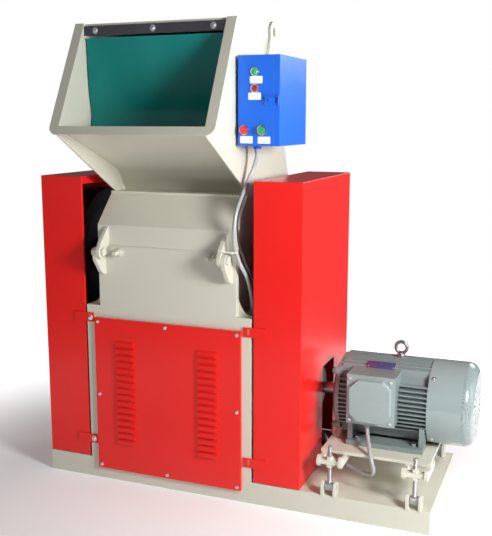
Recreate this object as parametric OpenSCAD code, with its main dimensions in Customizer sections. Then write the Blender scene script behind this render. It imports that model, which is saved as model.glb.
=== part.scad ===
// Plastic granulator: cutting chamber with a tilting hopper, belt guards and a foot-mounted motor.
// +Z up, front towards -Y. The origin is on the floor under the middle of the rotor.

/* [Base] */
// Length of the base under cabinet and guards
main_len = 903; // [880:1:960]
// Base beyond the end of the motor plate
wing_margin = 15; // [13:1:60]
// Depth of the base, cabinet and guards
body_depth = 530; // [520:1:600]
// How far the motor end is set in at the back
wing_step = 55; // [15:1:65]
// Height of the base
base_h = 70; // [60:1:100]
// Plate thickness of the base
base_t = 8; // [6:0.5:10]

/* [Cabinet] */
// Height of the cabinet above the base
cab_h = 528; // [500:1:560]
// Sheet thickness of the cabinet
cab_t = 5; // [3:0.5:6]
// Cabinet front left bare beside the red panel
panel_side = 32; // [30:1:45]
// Bare strip above the red panel, and the panel's height above the floor
panel_low = 40; // [36:1:50]
// How far the panel stands proud
panel_d = 10; // [8:1:14]
// Louvres in each column
louvre_n = 16; // [8:1:16]

/* [Chamber] */
// Cabinet left bare beside the chamber
chamber_side = 50; // [45:1:55]
// Cabinet left bare behind the chamber
chamber_rear = 40; // [25:1:50]
// Height of the lower chamber
lower_h = 200; // [190:1:220]
// Height of the upper chamber
upper_h = 167; // [150:1:180]
// Thickness of the chamber side walls
wall_t = 12; // [10:1:16]
// Thickness of the chamber front and back plates
plate_t = 8; // [6:1:10]
// Rotor axis below the seam
rotor_drop = 53; // [48:1:60]

/* [Hopper] */
// Sheet thickness of the hopper
sheet_t = 5; // [3:0.5:6]
// Width of the lip round the mouth
lip_w = 26; // [20:1:32]
// Height of the mouth's top edge above the chamber
mouth_rise = 515; // [500:1:540]
// Thickness of the curtain
curtain_t = 3; // [2:0.5:5]

/* [Guards and drive] */
// Width of each belt guard
guard_w = 153; // [145:1:155]
// Height of each belt guard
guard_h = 944; // [930:1:980]
// Sheet thickness of the guards
guard_t = 3; // [2:0.5:4]
// Pitch diameter of the rotor pulley
big_pitch_d = 340; // [320:1:370]
// Pitch diameter of the motor pulley
small_pitch_d = 125; // [110:1:140]
// Diameter of the flywheel
flywheel_d = 430; // [400:1:440]

/* [Motor] */
// Height of the motor plate above the base
plate_rise = 121; // [115:1:140]
// Diameter over the motor's fins
motor_d = 262; // [240:1:275]
// Gap between the fins and the motor plate
motor_lift = 1; // [1:0.5:8]
// Diameter of the motor shaft
motor_shaft_d = 38; // [32:1:42]

/* [Control box] */
// Depth of the box case away from the hopper
box_w = 111; // [105:1:125]
// Width of the box along the hopper
box_d = 245; // [230:1:260]
// Height of the box
box_h = 259; // [250:1:280]
// Thickness of the box door
door_t = 18; // [14:1:22]

/* [Hidden] */
$fn = 48;

// Shared clearances
over = 1;          // overrun of every cut
fit = 0.05;        // radial running clearance
seat = 0.3;        // clearance between faces that move past each other
cream = "#d8d3c4";
red = "#d8201c";
steel = "#b9bcc0";
dark = "#33363a";
motor_green = "#8fa39c";
blue = "#1f55c8";

// Levels and sides worked out from the driving sizes
front = -body_depth / 2;
back = body_depth / 2;
left = -main_len / 2;
step_x = left + main_len;
base_edge = 1.5;                     // base beyond the guards
guard_gap = 7;
cab_w = main_len - 2 * (base_edge + guard_w + guard_gap);
cab_x = cab_w / 2;
guard_in = cab_x + guard_gap;
guard_out = guard_in + guard_w;
motor_gap = 53.5;
motor_x = guard_out + motor_gap;     // outer face of the drive end
mplate_edge = 5;                     // plate beyond the end shield
mplate_len = 335;
mplate_x0 = motor_x - mplate_edge;
mplate_x1 = mplate_x0 + mplate_len;
right = mplate_x1 + wing_margin;
base_len = right - left;
wing_depth = body_depth - wing_step;
wing_back = front + wing_depth;
panel_w = cab_w - 2 * panel_side;
chamber_w = cab_w - 2 * chamber_side;
chamber_depth = body_depth - chamber_rear;
deck_t = 5;
body_top = base_h + cab_h;
seam = body_top + lower_h;
ledge_z = seam + upper_h;
chamber_back = front + chamber_depth;
rotor_z = seam - rotor_drop;
knife_tip_gap = 1;
rotor_share = 25 / 36;               // cutting radius in the room behind the shaft
rotor_r = (chamber_back - plate_t - knife_tip_gap) * rotor_share;
shaft_share = 0.4;
shaft_d = rotor_r * shaft_share;
skin_x = chamber_w / 2;              // outer face of front skins and hopper sides
edge_t = 12;                         // width of the folded edge beside the front plate
edge_d = 22;                         // depth of that edge
wall_out = skin_x - edge_t;
wall_in = wall_out - wall_t;
seam_gap = 0.5;

// Hex fastener sizes
m6_d = 6;
m6_head_d = 12;
m6_head_h = 4;
m12_d = 12;
m12_flats = 21;
m12_h = 8;

module block(a, b) { translate(a) cube(b - a); }
module pair() { children(); mirror([1, 0, 0]) children(); }
module rod_x(d, x0, x1) { translate([x0, 0, 0]) rotate([0, 90, 0]) cylinder(d = d, h = x1 - x0); }
module rod_y(d, y0, y1) { translate([0, y1, 0]) rotate([90, 0, 0]) cylinder(d = d, h = y1 - y0); }
module hex(flats, h) { cylinder(d = flats / cos(30), h = h, $fn = 6); }
module side_profile(x0, x1) { translate([x0, 0, 0]) rotate([90, 0, 90]) linear_extrude(x1 - x0)
    children(); }

// Outline of a bent sheet: a path and the same path moved sideways by t
function unit(v) = v / norm(v);
function normal(v) = [-v[1], v[0]];
function mitre(p, i, t) = let (a = normal(unit(p[i] - p[i - 1])), b = normal(unit(p[i + 1] - p[i])),
    m = unit(a + b)) p[i] + m * t / (m * a);
function shifted(p, t) = let (n = len(p) - 1) [for (i = [0:n])
    i == 0 ? p[0] + normal(unit(p[1] - p[0])) * t :
    i == n ? p[n] + normal(unit(p[n] - p[n - 1])) * t : mitre(p, i, t)];
function reversed(p) = [for (i = [len(p) - 1:-1:0]) p[i]];
function sheet_line(p, t) = concat(p, reversed(shifted(p, t)));

// Base
module base_outline(inset) {
    translate([left + inset, front + inset]) square([main_len - 2 * inset, body_depth - 2 * inset]);
    translate([left + inset, front + inset]) square([base_len - 2 * inset, wing_depth - 2 * inset]);
}
centre_bar_w = 40;
module base_frame() color(cream) difference() {
    union() {
        difference() {
            linear_extrude(base_h) base_outline(0);
            translate([0, 0, -over]) linear_extrude(base_h + 2 * over) base_outline(base_t);
        }
        block([-centre_bar_w / 2, front + base_t / 2, 0],
            [centre_bar_w / 2, back - base_t / 2, base_h - deck_t]);
        block([step_x - base_t, front + base_t / 2, 0], [step_x, wing_back - base_t / 2, base_h - deck_t]);
    }
    panel_screw_places() rod_y(m6_d, front - over, front + base_t + over);
}
module base_deck() color(cream) translate([0, 0, base_h - deck_t]) linear_extrude(deck_t)
    base_outline(base_t);

// Cabinet and front panel
window_side = 60;                    // cabinet plate left beside the window behind the panel
window_low = 40;
window_top = 78;
drawer_side = 65;                     // cabinet beside the drawer
drawer_w = cab_w - 2 * drawer_side;
drawer_h = 200;
drawer_play = 6;                     // gap round the drawer in its opening
drawer_lift = 20;                    // drawer bottom above the deck
throat_play = 3;
skirt_back = 20;                     // skirt inside the chamber's back
skirt_y = chamber_back - skirt_back; // half depth of the chamber skirt inside the cabinet
skirt_h = 38;                        // skirt below the cabinet's top
skirt_z = body_top - skirt_h;
module cabinet_body() color(cream) difference() {
    block([-cab_x, front, base_h], [cab_x, back, body_top]);
    block([-cab_x + cab_t, front + cab_t, base_h - over], [cab_x - cab_t, back - cab_t, body_top - cab_t]);
    block([-cab_x + window_side, front - over, base_h + window_low],
        [cab_x - window_side, front + cab_t + over, body_top - window_top]);
    block([-drawer_w / 2 - drawer_play, back - cab_t - over, base_h - over],
        [drawer_w / 2 + drawer_play, back + over, base_h + drawer_lift + drawer_h + drawer_play]);
    block([-wall_out - throat_play, -skirt_y - throat_play, body_top - cab_t - over],
        [wall_out + throat_play, skirt_y + throat_play, body_top + over]);
    panel_screw_places() rod_y(m6_d, front - over, front + cab_t + over);
    translate(gland_a) cylinder(d = gland_d, h = gland_h, center = true);
    translate(gland_b) rotate([0, 90, 0]) cylinder(d = gland_d, h = gland_h, center = true);
}
panel_h = body_top - 2 * panel_low;
panel_t = 2;
screw_inset = 12;
louvre_side = 112;                   // middle of a louvre column from the panel's side
louvre_x = panel_w / 2 - louvre_side;
louvre_len = 65;
louvre_h = 15;
louvre_d = 8;
louvre_ends = [97, 86.5];            // lowest and highest louvre from the panel's edges
louvre_low = panel_low + louvre_ends[0];
louvre_pitch = (panel_h - louvre_ends[0] - louvre_ends[1]) / (louvre_n - 1);
module panel_screw_places() {
    mid = panel_low + panel_h / 2;
    dz = panel_h / 2 - screw_inset;
    dx = panel_w / 2 - screw_inset;
    for (p = [[-1, 1], [0, 1], [1, 1], [-1, 0], [1, 0], [-1, -1], [0, -1], [1, -1]])
        translate([p[0] * dx, 0, mid + p[1] * dz]) children();
}
hood_shares = [[0, 1], [-0.45, 0.86], [-0.8, 0.6], [-0.97, 0.3], [-1, 0]];
function hood(d, h) = [for (s = hood_shares) [s[0] * d, s[1] * h]];
module louvre_places() {
    for (side = [-1, 1]) for (i = [0:louvre_n - 1])
        translate([side * louvre_x, front - panel_d, louvre_low + i * louvre_pitch]) children();
}
module front_panel() color(red) difference() {
    union() {
        difference() {
            block([-panel_w / 2, front - panel_d, panel_low], [panel_w / 2, front, panel_low + panel_h]);
            block([-panel_w / 2 + panel_t, front - panel_d + panel_t, panel_low + panel_t],
                [panel_w / 2 - panel_t, front + over, panel_low + panel_h - panel_t]);
        }
        louvre_places() side_profile(-louvre_len / 2, louvre_len / 2)
            polygon(concat(hood(louvre_d, louvre_h), [[0, 0]]));
    }
    louvre_places() side_profile(-louvre_len / 2 + panel_t, louvre_len / 2 - panel_t)
        polygon(concat([[panel_t + over, louvre_h - 2 * panel_t]],
            hood(louvre_d - panel_t, louvre_h - 2 * panel_t),
            [[-louvre_d + panel_t, -over / 2], [0, -over / 2], [0, 0], [panel_t + over, 0]]));
    panel_screw_places() rod_y(m6_d, front - panel_d - over, front);
}
module panel_screws() color(steel) panel_screw_places() {
    rod_y(m6_d, front - panel_d, front + cab_t);
    rod_y(m6_head_d, front - panel_d - m6_head_h, front - panel_d);
}

// Lower chamber
shaft_room = 16;
rotor_hole_d = shaft_d + shaft_room;
seat_h = 35;
knife_t = 12;
knife_reach = rotor_r + knife_tip_gap;
seat_back = 14;                      // seat behind the tip of its knife
seat_y = knife_reach + seat_back;
knife_low = rotor_z - knife_t;
shoe_h = 100;                        // gusset height beside the chamber
shoe_w = 55;
shoe_t = 6;
module lower_chamber() color(cream) difference() {
    union() {
        for (s = [-1, 1]) translate([s * (wall_out + wall_in) / 2 - wall_t / 2, 0, 0])
            side_profile(0, wall_t) polygon([[front, body_top], [-skirt_y, body_top], [-skirt_y, skirt_z],
                [skirt_y, skirt_z], [skirt_y, body_top], [chamber_back, body_top],
                [chamber_back, seam], [front, seam]]);
        block([-skin_x, front, body_top], [skin_x, front + plate_t, seam]);
        pair() block([wall_out, front, body_top], [skin_x, front + edge_d, seam]);
        block([-wall_out, chamber_back - plate_t, body_top], [wall_out, chamber_back, seam]);
        block([-wall_out, front, knife_low - seat_h], [wall_out, -seat_y, knife_low]);
        block([-wall_out, seat_y, knife_low - seat_h], [wall_out, chamber_back, knife_low]);
        for (s = [-1, 1]) block([-wall_out, s * skirt_y - (s > 0 ? plate_t : 0), skirt_z],
            [wall_out, s * skirt_y + (s > 0 ? 0 : plate_t), knife_low - seat_h / 2]);
        pair() for (y = [front + edge_d, chamber_back - edge_d]) translate([0, y, 0]) chamber_shoe();
    }
    rotor_line() rod_x(rotor_hole_d, -skin_x - over, skin_x + over);
    bed_bolt_places() translate([0, 0, -bed_bolt_l]) cylinder(d = m12_d, h = bed_bolt_l + over);
    stud_places() rod_y(stud_d, front - over, front + plate_t + over);
}
module chamber_shoe() difference() {
    block([wall_out - over, 0, body_top], [wall_out + shoe_w, shoe_t, body_top + shoe_h]);
    translate([wall_out + shoe_w + over, shoe_t / 2, body_top + shoe_h + over])
        scale([(shoe_w - over) / shoe_h, 1, 1]) rotate([90, 0, 0])
            cylinder(r = shoe_h - 2 * over, h = shoe_t + 2 * over, center = true);
}
module rotor_line() translate([0, 0, rotor_z]) children();

// Hinge between the chamber halves
pivot_out = 40;
pivot_drop = 17;
pivot_y = front - pivot_out;
pivot_z = seam - pivot_drop;
ear_t = 12.5;
ear_side = 25;
ear_in = skin_x - ear_side;          // inner face of the lower ears
ear_gap = 1;
low_ear_r = 17;
high_ear_r = 21;
hinge_bolt_d = 16;
hinge_flats = 24;
hinge_head_h = 8;
low_ear_base = 78;                   // lower ear's root below the pivot
low_ear_top = 12;
high_ear_top = 78;
high_ear_knee = 34;
module hinge_line() translate([0, pivot_y, pivot_z]) children();
low_ear_shares = [0.6, 0.87, 0.95, 1.3, 0.9];
high_ear_shares = [0.24, 0.4, 0.5];
module lower_hinge_ears() color(cream) pair() difference() {
    side_profile(ear_in, ear_in + ear_t) {
        translate([pivot_y, pivot_z]) circle(r = low_ear_r);
        polygon([[front, pivot_z - low_ear_base],
            [front - pivot_out * low_ear_shares[0], pivot_z - low_ear_base * low_ear_shares[1]],
            [pivot_y - low_ear_r * low_ear_shares[2], pivot_z - low_ear_r * low_ear_shares[3]],
            [pivot_y - low_ear_r, pivot_z],
            [pivot_y, pivot_z + low_ear_r * low_ear_shares[4]], [front, pivot_z - low_ear_top]]);
    }
    hinge_line() rod_x(hinge_bolt_d + 2 * fit, ear_in - over, ear_in + ear_t + over);
}
module hinge_bolts() color(steel) pair() hinge_line() {
    rod_x(hinge_bolt_d, ear_in - ear_gap - ear_t - seat - hinge_head_h, ear_in + ear_t);
    translate([ear_in + ear_t, 0, 0]) rotate([0, 90, 0]) hex(hinge_flats, hinge_head_h);
    translate([ear_in - ear_gap - ear_t - seat - hinge_head_h, 0, 0]) rotate([0, 90, 0])
        hex(hinge_flats, hinge_head_h);
}
module upper_hinge_ears() color(cream) pair() difference() {
    side_profile(ear_in - ear_gap - ear_t, ear_in - ear_gap) {
        translate([pivot_y, pivot_z]) circle(r = high_ear_r);
        polygon([[front, pivot_z + high_ear_top],
            [pivot_y - high_ear_r * high_ear_shares[0], pivot_z + high_ear_knee],
            [pivot_y - high_ear_r, pivot_z + high_ear_r * high_ear_shares[1]],
            [pivot_y, pivot_z - high_ear_r * high_ear_shares[2]],
            [front - ear_gap, seam + seam_gap], [front, seam + seam_gap]]);
    }
    hinge_line() rod_x(hinge_bolt_d + 2 * fit, ear_in - 3 * ear_t, ear_in + over);
}

// Clamping studs on the front
stud_d = 14;
stud_side = 78;                      // studs from the chamber's side
stud_x = skin_x - stud_side;
stud_drop = 21;                      // studs below the seam
stud_out = 38;
stud_nut_h = 11;
stud_flats = 22;
washer_d = 30;
washer_t = 3;
module stud_places() pair() translate([stud_x, 0, seam - stud_drop]) children();
module clamp_studs() color(steel) stud_places() {
    rod_y(stud_d, front - stud_out, front + plate_t);
    rod_y(washer_d, front - washer_t, front);
    translate([0, front - washer_t, 0]) rotate([90, 0, 0]) hex(stud_flats, stud_nut_h);
}

// Bed knives, screen and chute
bed_gap = 2;
bed_w = chamber_back - plate_t - knife_reach - bed_gap;
bed_bolt_n = 4;
bed_bolt_l = 30;
bed_len = 2 * (wall_in - bed_gap);
bed_bolt_end = 49;                   // outer bolts from the knife's ends
bed_bolt_step = (bed_len - 2 * bed_bolt_end) / (bed_bolt_n - 1);
bed_bolt_share = 0.625;
bed_bolt_y = knife_reach + bed_w * bed_bolt_share;
module bed_bolt_places() for (s = [-1, 1]) for (i = [0:bed_bolt_n - 1])
    translate([(i - (bed_bolt_n - 1) / 2) * bed_bolt_step, s * bed_bolt_y, knife_low]) children();
bed_back = 12;                       // depth of the knife's bevel
module bed_knives() color(steel) difference() {
    for (s = [0, 1]) mirror([0, s, 0]) side_profile(-bed_len / 2, bed_len / 2)
        polygon([[knife_reach, rotor_z], [knife_reach + bed_w, rotor_z], [knife_reach + bed_w, knife_low],
            [knife_reach + bed_back, knife_low]]);
    bed_bolt_places() translate([0, 0, -over]) cylinder(d = m12_d, h = knife_t + 2 * over);
}
module bed_knife_bolts() color(dark) bed_bolt_places() {
    translate([0, 0, -bed_bolt_l]) cylinder(d = m12_d, h = bed_bolt_l + knife_t);
    translate([0, 0, knife_t]) hex(m12_flats, m12_h);
}
screen_gap = 5;
screen_t = 5;
screen_r = rotor_r + screen_gap;
screen_end = 20;                     // degrees from level to the screen's ends
hole_d = 12;
hole_rows = 7;
hole_cols = 12;
hole_end = 29.5;                     // outer holes from the screen's ends
hole_step_x = 2 * (wall_in - screen_gap - hole_end) / (hole_cols - 1);
module arc_band(r, t, x0, x1) side_profile(x0, x1) translate([0, rotor_z]) difference() {
    circle(r = r + t, $fn = 96);
    circle(r = r, $fn = 96);
    polygon([[0, 0], [-(r + t) * 2, -(r + t) * 2 * tan(screen_end)], [-(r + t) * 2, (r + t) * 2],
        [(r + t) * 2, (r + t) * 2], [(r + t) * 2, -(r + t) * 2 * tan(screen_end)]]);
}
module screen() color(steel) difference() {
    arc_band(screen_r, screen_t, -wall_in + screen_gap, wall_in - screen_gap);
    for (i = [0:hole_cols - 1]) for (j = [0:hole_rows - 1])
        translate([(i - (hole_cols - 1) / 2) * hole_step_x, 0, rotor_z])
            rotate([(j - (hole_rows - 1) / 2) * 130 / (hole_rows - 1), 0, 0])
                translate([0, 0, -screen_r - 2 * screen_t]) cylinder(d = hole_d, h = 3 * screen_t,
                    $fn = 24);
}
cradle_t = 12;
cradle_side = 41;
cradle_x = wall_in - cradle_side;
cradle_w = 14;
module screen_cradle() color(dark) pair() difference() {
    union() {
        arc_band(screen_r + screen_t, cradle_t, cradle_x, cradle_x + cradle_w);
        for (s = [0, 1]) mirror([0, s, 0])
            block([cradle_x, screen_r * 0.95, rotor_z - screen_r * 0.62],
                [cradle_x + cradle_w, skirt_y - plate_t, rotor_z - screen_r * 0.5]);
    }
    rotor_line() rod_x(2 * (screen_r + screen_t), cradle_x - over, cradle_x + cradle_w + over);
}
chute_in = 25;                       // chute's mouth inside the drawer's sides
chute_low_w = drawer_w - 2 * chute_in;
chute_taper = 35;                    // how far the chute draws in towards its mouth
chute_low_d = 2 * (skirt_y - chute_taper);
chute_t = 4;
chute_gap = 12;                      // chute above the drawer
chute_z = base_h + drawer_lift + drawer_h + chute_gap;
module funnel(w0, d0, z0, w1, d1, z1) polyhedron(
    points = concat([for (c = corners) [c[0] * w0 / 2, c[1] * d0 / 2, z0]],
        [for (c = corners) [c[0] * w1 / 2, c[1] * d1 / 2, z1]]),
    faces = [[3, 2, 1, 0], [4, 5, 6, 7], [1, 5, 4, 0], [2, 6, 5, 1], [3, 7, 6, 2], [0, 4, 7, 3]]);
corners = [[-1, -1], [-1, 1], [1, 1], [1, -1]];
module discharge_chute() color(steel) difference() {
    funnel(chute_low_w, chute_low_d, chute_z, 2 * wall_out, 2 * skirt_y, skirt_z);
    funnel(chute_low_w - 2 * chute_t, chute_low_d - 2 * chute_t, chute_z - over / 2,
        2 * wall_out - 2 * chute_t, 2 * skirt_y - 2 * chute_t, skirt_z + over / 2);
}

// Bearings
flange_w = 150;
flange_t = 16;
boss_d = 136;
boss_l = 52;
bearing_od = 110;
bearing_w = 32;
flange_bolt_x = 60;                  // flange bolts from the rotor axis, along y and z
module bearing_housings() color(dark) pair() difference() {
    union() {
        block([wall_out, -flange_w / 2, rotor_z - flange_w / 2],
            [wall_out + flange_t, flange_w / 2, rotor_z + flange_w / 2]);
        rotor_line() rod_x(boss_d, wall_out, wall_out + boss_l);
        for (y = [-1, 1]) for (z = [-1, 1])
            translate([wall_out + flange_t, y * flange_bolt_x, rotor_z + z * flange_bolt_x])
                rotate([0, 90, 0]) hex(m12_flats, m12_h);
    }
    rotor_line() rod_x(bearing_od, wall_out + boss_l - bearing_w - flange_t / 2,
        wall_out + boss_l - flange_t / 2);
    rotor_line() rod_x(shaft_d + flange_t, wall_out - over, wall_out + boss_l + over);
}
module rotor_bearings() color(steel) pair() rotor_line() difference() {
    rod_x(bearing_od, wall_out + boss_l - bearing_w - flange_t / 2, wall_out + boss_l - flange_t / 2);
    rod_x(shaft_d + 2 * fit, wall_out, wall_out + boss_l);
}

// Guards
guard_lift = 2;
guard_low = base_h + guard_lift;
guard_top = guard_low + guard_h;
top_flange = 25;
front_flange = 9;
slot_y = [-30, 100];
slot_low = 50;                       // slot for shaft and cable above the base
slot_h = 280;
slot_z = [base_h + slot_low, base_h + slot_low + slot_h];
module guard_shell() difference() {
    block([guard_in, front, guard_low], [guard_out, back, guard_top]);
    block([guard_in - over, front + guard_t, guard_low - over],
        [guard_out - guard_t, back - guard_t, guard_top - guard_t]);
}
module guard_rim() {
    block([guard_in, front, guard_top - top_flange], [guard_in + guard_t, back, guard_top]);
    for (y = [front, back - front_flange])
        block([guard_in, y, guard_low], [guard_in + guard_t, y + front_flange, guard_top]);
}
module guard_body() { guard_shell(); guard_rim(); }
module guard_left() color(red) mirror([1, 0, 0]) guard_body();
module guard_right() color(red) difference() {
    guard_body();
    block([guard_out - guard_t - over, slot_y[0], slot_z[0]], [guard_out + over, slot_y[1], slot_z[1]]);
}
strap_t = 4;
strap_h = 30;
strap_lap = 26;                      // how far a strap runs onto the cabinet
strap_in = cab_x - strap_lap;
strap_reach = 40;                    // how far a strap runs onto the guard
strap_low = 65;                      // lower straps above the base
strap_high = 42;                     // upper straps below the cabinet's top
strap_z = [base_h + strap_low, body_top - strap_high];
strap_slot_w = 7;
strap_slot_h = 22;
strap_hole_in = 12;
strap_slot_off = 6;
strap_hole_x = strap_in + strap_hole_in;
strap_bolt_d = 8;
module strap_places() for (z = strap_z) for (s = [0, 1]) mirror([s, 0, 0]) for (f = [0, 1])
    mirror([0, f, 0]) translate([0, front, z]) children();
module guard_straps() color(red) difference() {
    strap_places() block([strap_in, -strap_t, -strap_h / 2], [guard_in + strap_reach, 0, strap_h / 2]);
    for (z = strap_z) translate([strap_hole_x + strap_slot_off, front, z])
        cube([strap_slot_w, 3 * strap_t, strap_slot_h], center = true);
    for (z = strap_z) translate([-strap_hole_x, 0, z]) rod_y(strap_bolt_d, front - strap_t - over,
        front + over);
    for (z = strap_z) pair() translate([strap_hole_x, 0, z]) rod_y(strap_bolt_d, back - over,
        back + strap_t + over);
}
strap_head_d = 16;
strap_head_h = 6;
module guard_strap_bolts() color(steel) {
    for (z = strap_z) translate([-strap_hole_x, 0, z]) {
        rod_y(strap_bolt_d, front - strap_t, front);
        rod_y(strap_head_d, front - strap_t - strap_head_h, front - strap_t);
    }
    for (z = strap_z) pair() translate([strap_hole_x, 0, z]) {
        rod_y(strap_bolt_d, back, back + strap_t);
        rod_y(strap_head_d, back + strap_t, back + strap_t + strap_head_h);
    }
}

// Drawer
drawer_t = 3;
drawer_back_gap = 30;                // drawer behind the cabinet's front
drawer_front = front + drawer_back_gap;
face_over = 12;                      // how far the drawer's face overlaps the opening
face_t = 3;
runner_w = 30;
runner_lip = 4;
drawer_low = base_h + drawer_lift;
face_gap = 0.3;
module drawer() color(steel) {
    difference() {
        block([-drawer_w / 2, drawer_front, drawer_low], [drawer_w / 2, back + face_gap,
            drawer_low + drawer_h]);
        block([-drawer_w / 2 + drawer_t, drawer_front + drawer_t, drawer_low + drawer_t],
            [drawer_w / 2 - drawer_t, back + face_gap - drawer_t, drawer_low + drawer_h + over]);
    }
    block([-drawer_w / 2 - drawer_play - face_over, back + face_gap, base_h + guard_lift],
        [drawer_w / 2 + drawer_play + face_over, back + face_gap + face_t,
            drawer_low + drawer_h + drawer_play + face_over]);
}
module drawer_runners() color(dark) pair() {
    block([drawer_w / 2 - runner_w, drawer_front, base_h], [drawer_w / 2 + runner_lip + seat,
        back - cab_t, drawer_low - seat]);
    block([drawer_w / 2 + seat, drawer_front, base_h], [drawer_w / 2 + runner_lip + seat, back - cab_t,
        drawer_low + runner_w / 2]);
}
handle_w = 160;
handle_d = 12;
handle_post_d = 9;
handle_out = 40;
handle_z = drawer_low + drawer_h / 2;
module drawer_handle() color(dark) translate([0, back + face_gap + face_t, handle_z]) {
    for (s = [-1, 1]) translate([s * handle_w / 2, 0, 0]) rod_y(handle_post_d, 0,
        handle_out - handle_d / 2);
    translate([0, handle_out - handle_d / 2, 0]) rod_x(handle_d, -handle_w / 2 - handle_d,
        handle_w / 2 + handle_d);
}

// Motor plate and its adjusters
plate_z = base_h + plate_rise;
mplate_t = 10;
motor_len = 437;                     // end shield to cowl
cowl_len = 137;
shield_t = 25;
frame_x0 = motor_x + shield_t;
frame_x1 = motor_x + motor_len - cowl_len;
foot_out = 9;                        // feet beyond the fins
foot_w = motor_d + 2 * foot_out;
mplate_margins = [59, 2];            // plate beyond the feet, front and back
mplate_front = -foot_w / 2 - mplate_margins[0];
mplate_back = foot_w / 2 + mplate_margins[1];
rod_ends = [43, 34];                 // rods from the plate's ends
rod_x_places = [mplate_x0 + rod_ends[0], mplate_x1 - rod_ends[1]];
rod_offs = [54, 38];                 // rods beyond the plate, front and back
rod_y_places = [mplate_front - rod_offs[0], mplate_back + rod_offs[1]];
rod_d = 13;
rod_top = 34;                        // rod above the plate
bar_drop = 15;
bar_z = plate_z - bar_drop;          // middle of the crossbars
bar_h = 14;
bar_w = 22;
arm_under = [60, 17];              // how far the arms run under the plate, front and back
arm_t = 10;
arm_h = 34;
arm_off = 28;                        // inner face of the arms from the rod
module adjuster_places() for (x = rod_x_places) for (y = rod_y_places) translate([x, y, 0]) children();
module motor_plate() color(cream) difference() {
    union() {
        block([mplate_x0, mplate_front, plate_z - mplate_t], [mplate_x1, mplate_back, plate_z]);
        for (x = rod_x_places) for (s = [0, 1]) translate([x, 0, 0]) mirror([s, 0, 0])
            side_profile(arm_off, arm_off + arm_t) {
                translate([rod_y_places[0], bar_z]) circle(d = arm_h);
                translate([rod_y_places[1], bar_z]) circle(d = arm_h);
                translate([rod_y_places[0], bar_z - arm_h / 2])
                    square([mplate_front + arm_under[0] - rod_y_places[0],
                        arm_h / 2 + plate_z - mplate_t - bar_z + over]);
                translate([mplate_back - arm_under[1], bar_z - arm_h / 2])
                    square([rod_y_places[1] + arm_under[1] - mplate_back,
                        arm_h / 2 + plate_z - mplate_t - bar_z + over]);
            }
        adjuster_places() block([-arm_off - over, -bar_w / 2, bar_z - bar_h / 2], [arm_off + over,
            bar_w / 2, bar_z + bar_h / 2]);
    }
    adjuster_places() cylinder(d = rod_d + 2 * fit, h = plate_z + rod_top + over);
    motor_foot_places() translate([0, 0, plate_z - mplate_t - over]) cylinder(d = m12_d,
        h = mplate_t + 2 * over);
}
nut_h = 10;
nut_flats = 20;
module adjuster_nuts() color(steel) adjuster_places() for (z = [bar_z - bar_h / 2 - nut_h,
    bar_z + bar_h / 2])
    translate([0, 0, z]) difference() {
        hex(nut_flats, nut_h);
        translate([0, 0, -over]) cylinder(d = rod_d + 2 * fit, h = nut_h + 2 * over);
    }
eye_lift = 26;
eye_z = base_h + eye_lift;
eye_d = 26;
eye_w = 24;
ear_off = 14;                        // inner face of a bracket ear from the rod
bracket_t = 10;
bracket_d = 34;
pin_d = 12;
module adjuster_brackets() color(cream) adjuster_places() difference() {
    pair() side_profile(ear_off, ear_off + bracket_t) {
        translate([0, eye_z]) circle(d = bracket_d);
        translate([-bracket_d / 2, base_h]) square([bracket_d, eye_z - base_h]);
    }
    translate([0, 0, eye_z]) rod_x(pin_d, -2 * ear_off, 2 * ear_off);
}
module adjuster_rods() color(steel) adjuster_places() {
    translate([0, 0, eye_z]) {
        rod_x(eye_d, -eye_w / 2, eye_w / 2);
        rod_x(pin_d, -ear_off - bracket_t, ear_off + bracket_t);
    }
    translate([0, 0, eye_z]) cylinder(d = rod_d, h = plate_z + rod_top - eye_z);
}

// Motor
motor_h = motor_d / 2 + motor_lift;
axis_z = plate_z + motor_h;
fin_h = 18;
core_wall = 13;
core_d = motor_d - 2 * fin_h;
bore_d = core_d - 2 * core_wall;
fin_t = 3.5;
fin_step = 14;
fin_n = 5;                           // fins each side of the middle
foot_len = 238;
foot_t = 15;
foot_in = 33;
foot_x0 = frame_x0 + foot_in;
foot_rail = 64;
hole_ends = 30;                      // foot bolts from the foot's ends
hole_side = 32;
hole_dx = foot_len - 2 * hole_ends;
hole_dy = foot_w - 2 * hole_side;
end_wall = 12;
tbox_off = 38;
tbox_drop = 48;
tbox_x0 = frame_x0 + tbox_off;
tbox_w = 150;
tbox_z0 = axis_z - tbox_drop;
tbox_h = 155;
tbox_sunk = 26;                      // terminal box's inner face below the fins' tips
tbox_in = motor_d / 2 - tbox_sunk;
tbox_d = 60;
lid_d = 22;
module motor_axis() translate([0, 0, axis_z]) children();
module motor_foot_places() for (x = [-1, 1]) for (y = [-1, 1])
    translate([foot_x0 + foot_len / 2 + x * hole_dx / 2, y * hole_dy / 2, 0]) children();
module fin_section() intersection() {
    circle(d = motor_d, $fn = 96);
    union() {
        for (i = [-fin_n:fin_n]) {
            translate([0, i * fin_step]) square([motor_d + over, fin_t], center = true);
            translate([i * fin_step, 0]) square([fin_t, motor_d + over], center = true);
        }
        circle(d = core_d, $fn = 96);
    }
}
eye_seat_w = 34;
eye_off = 170;
eye_x = frame_x0 + eye_off;
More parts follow.
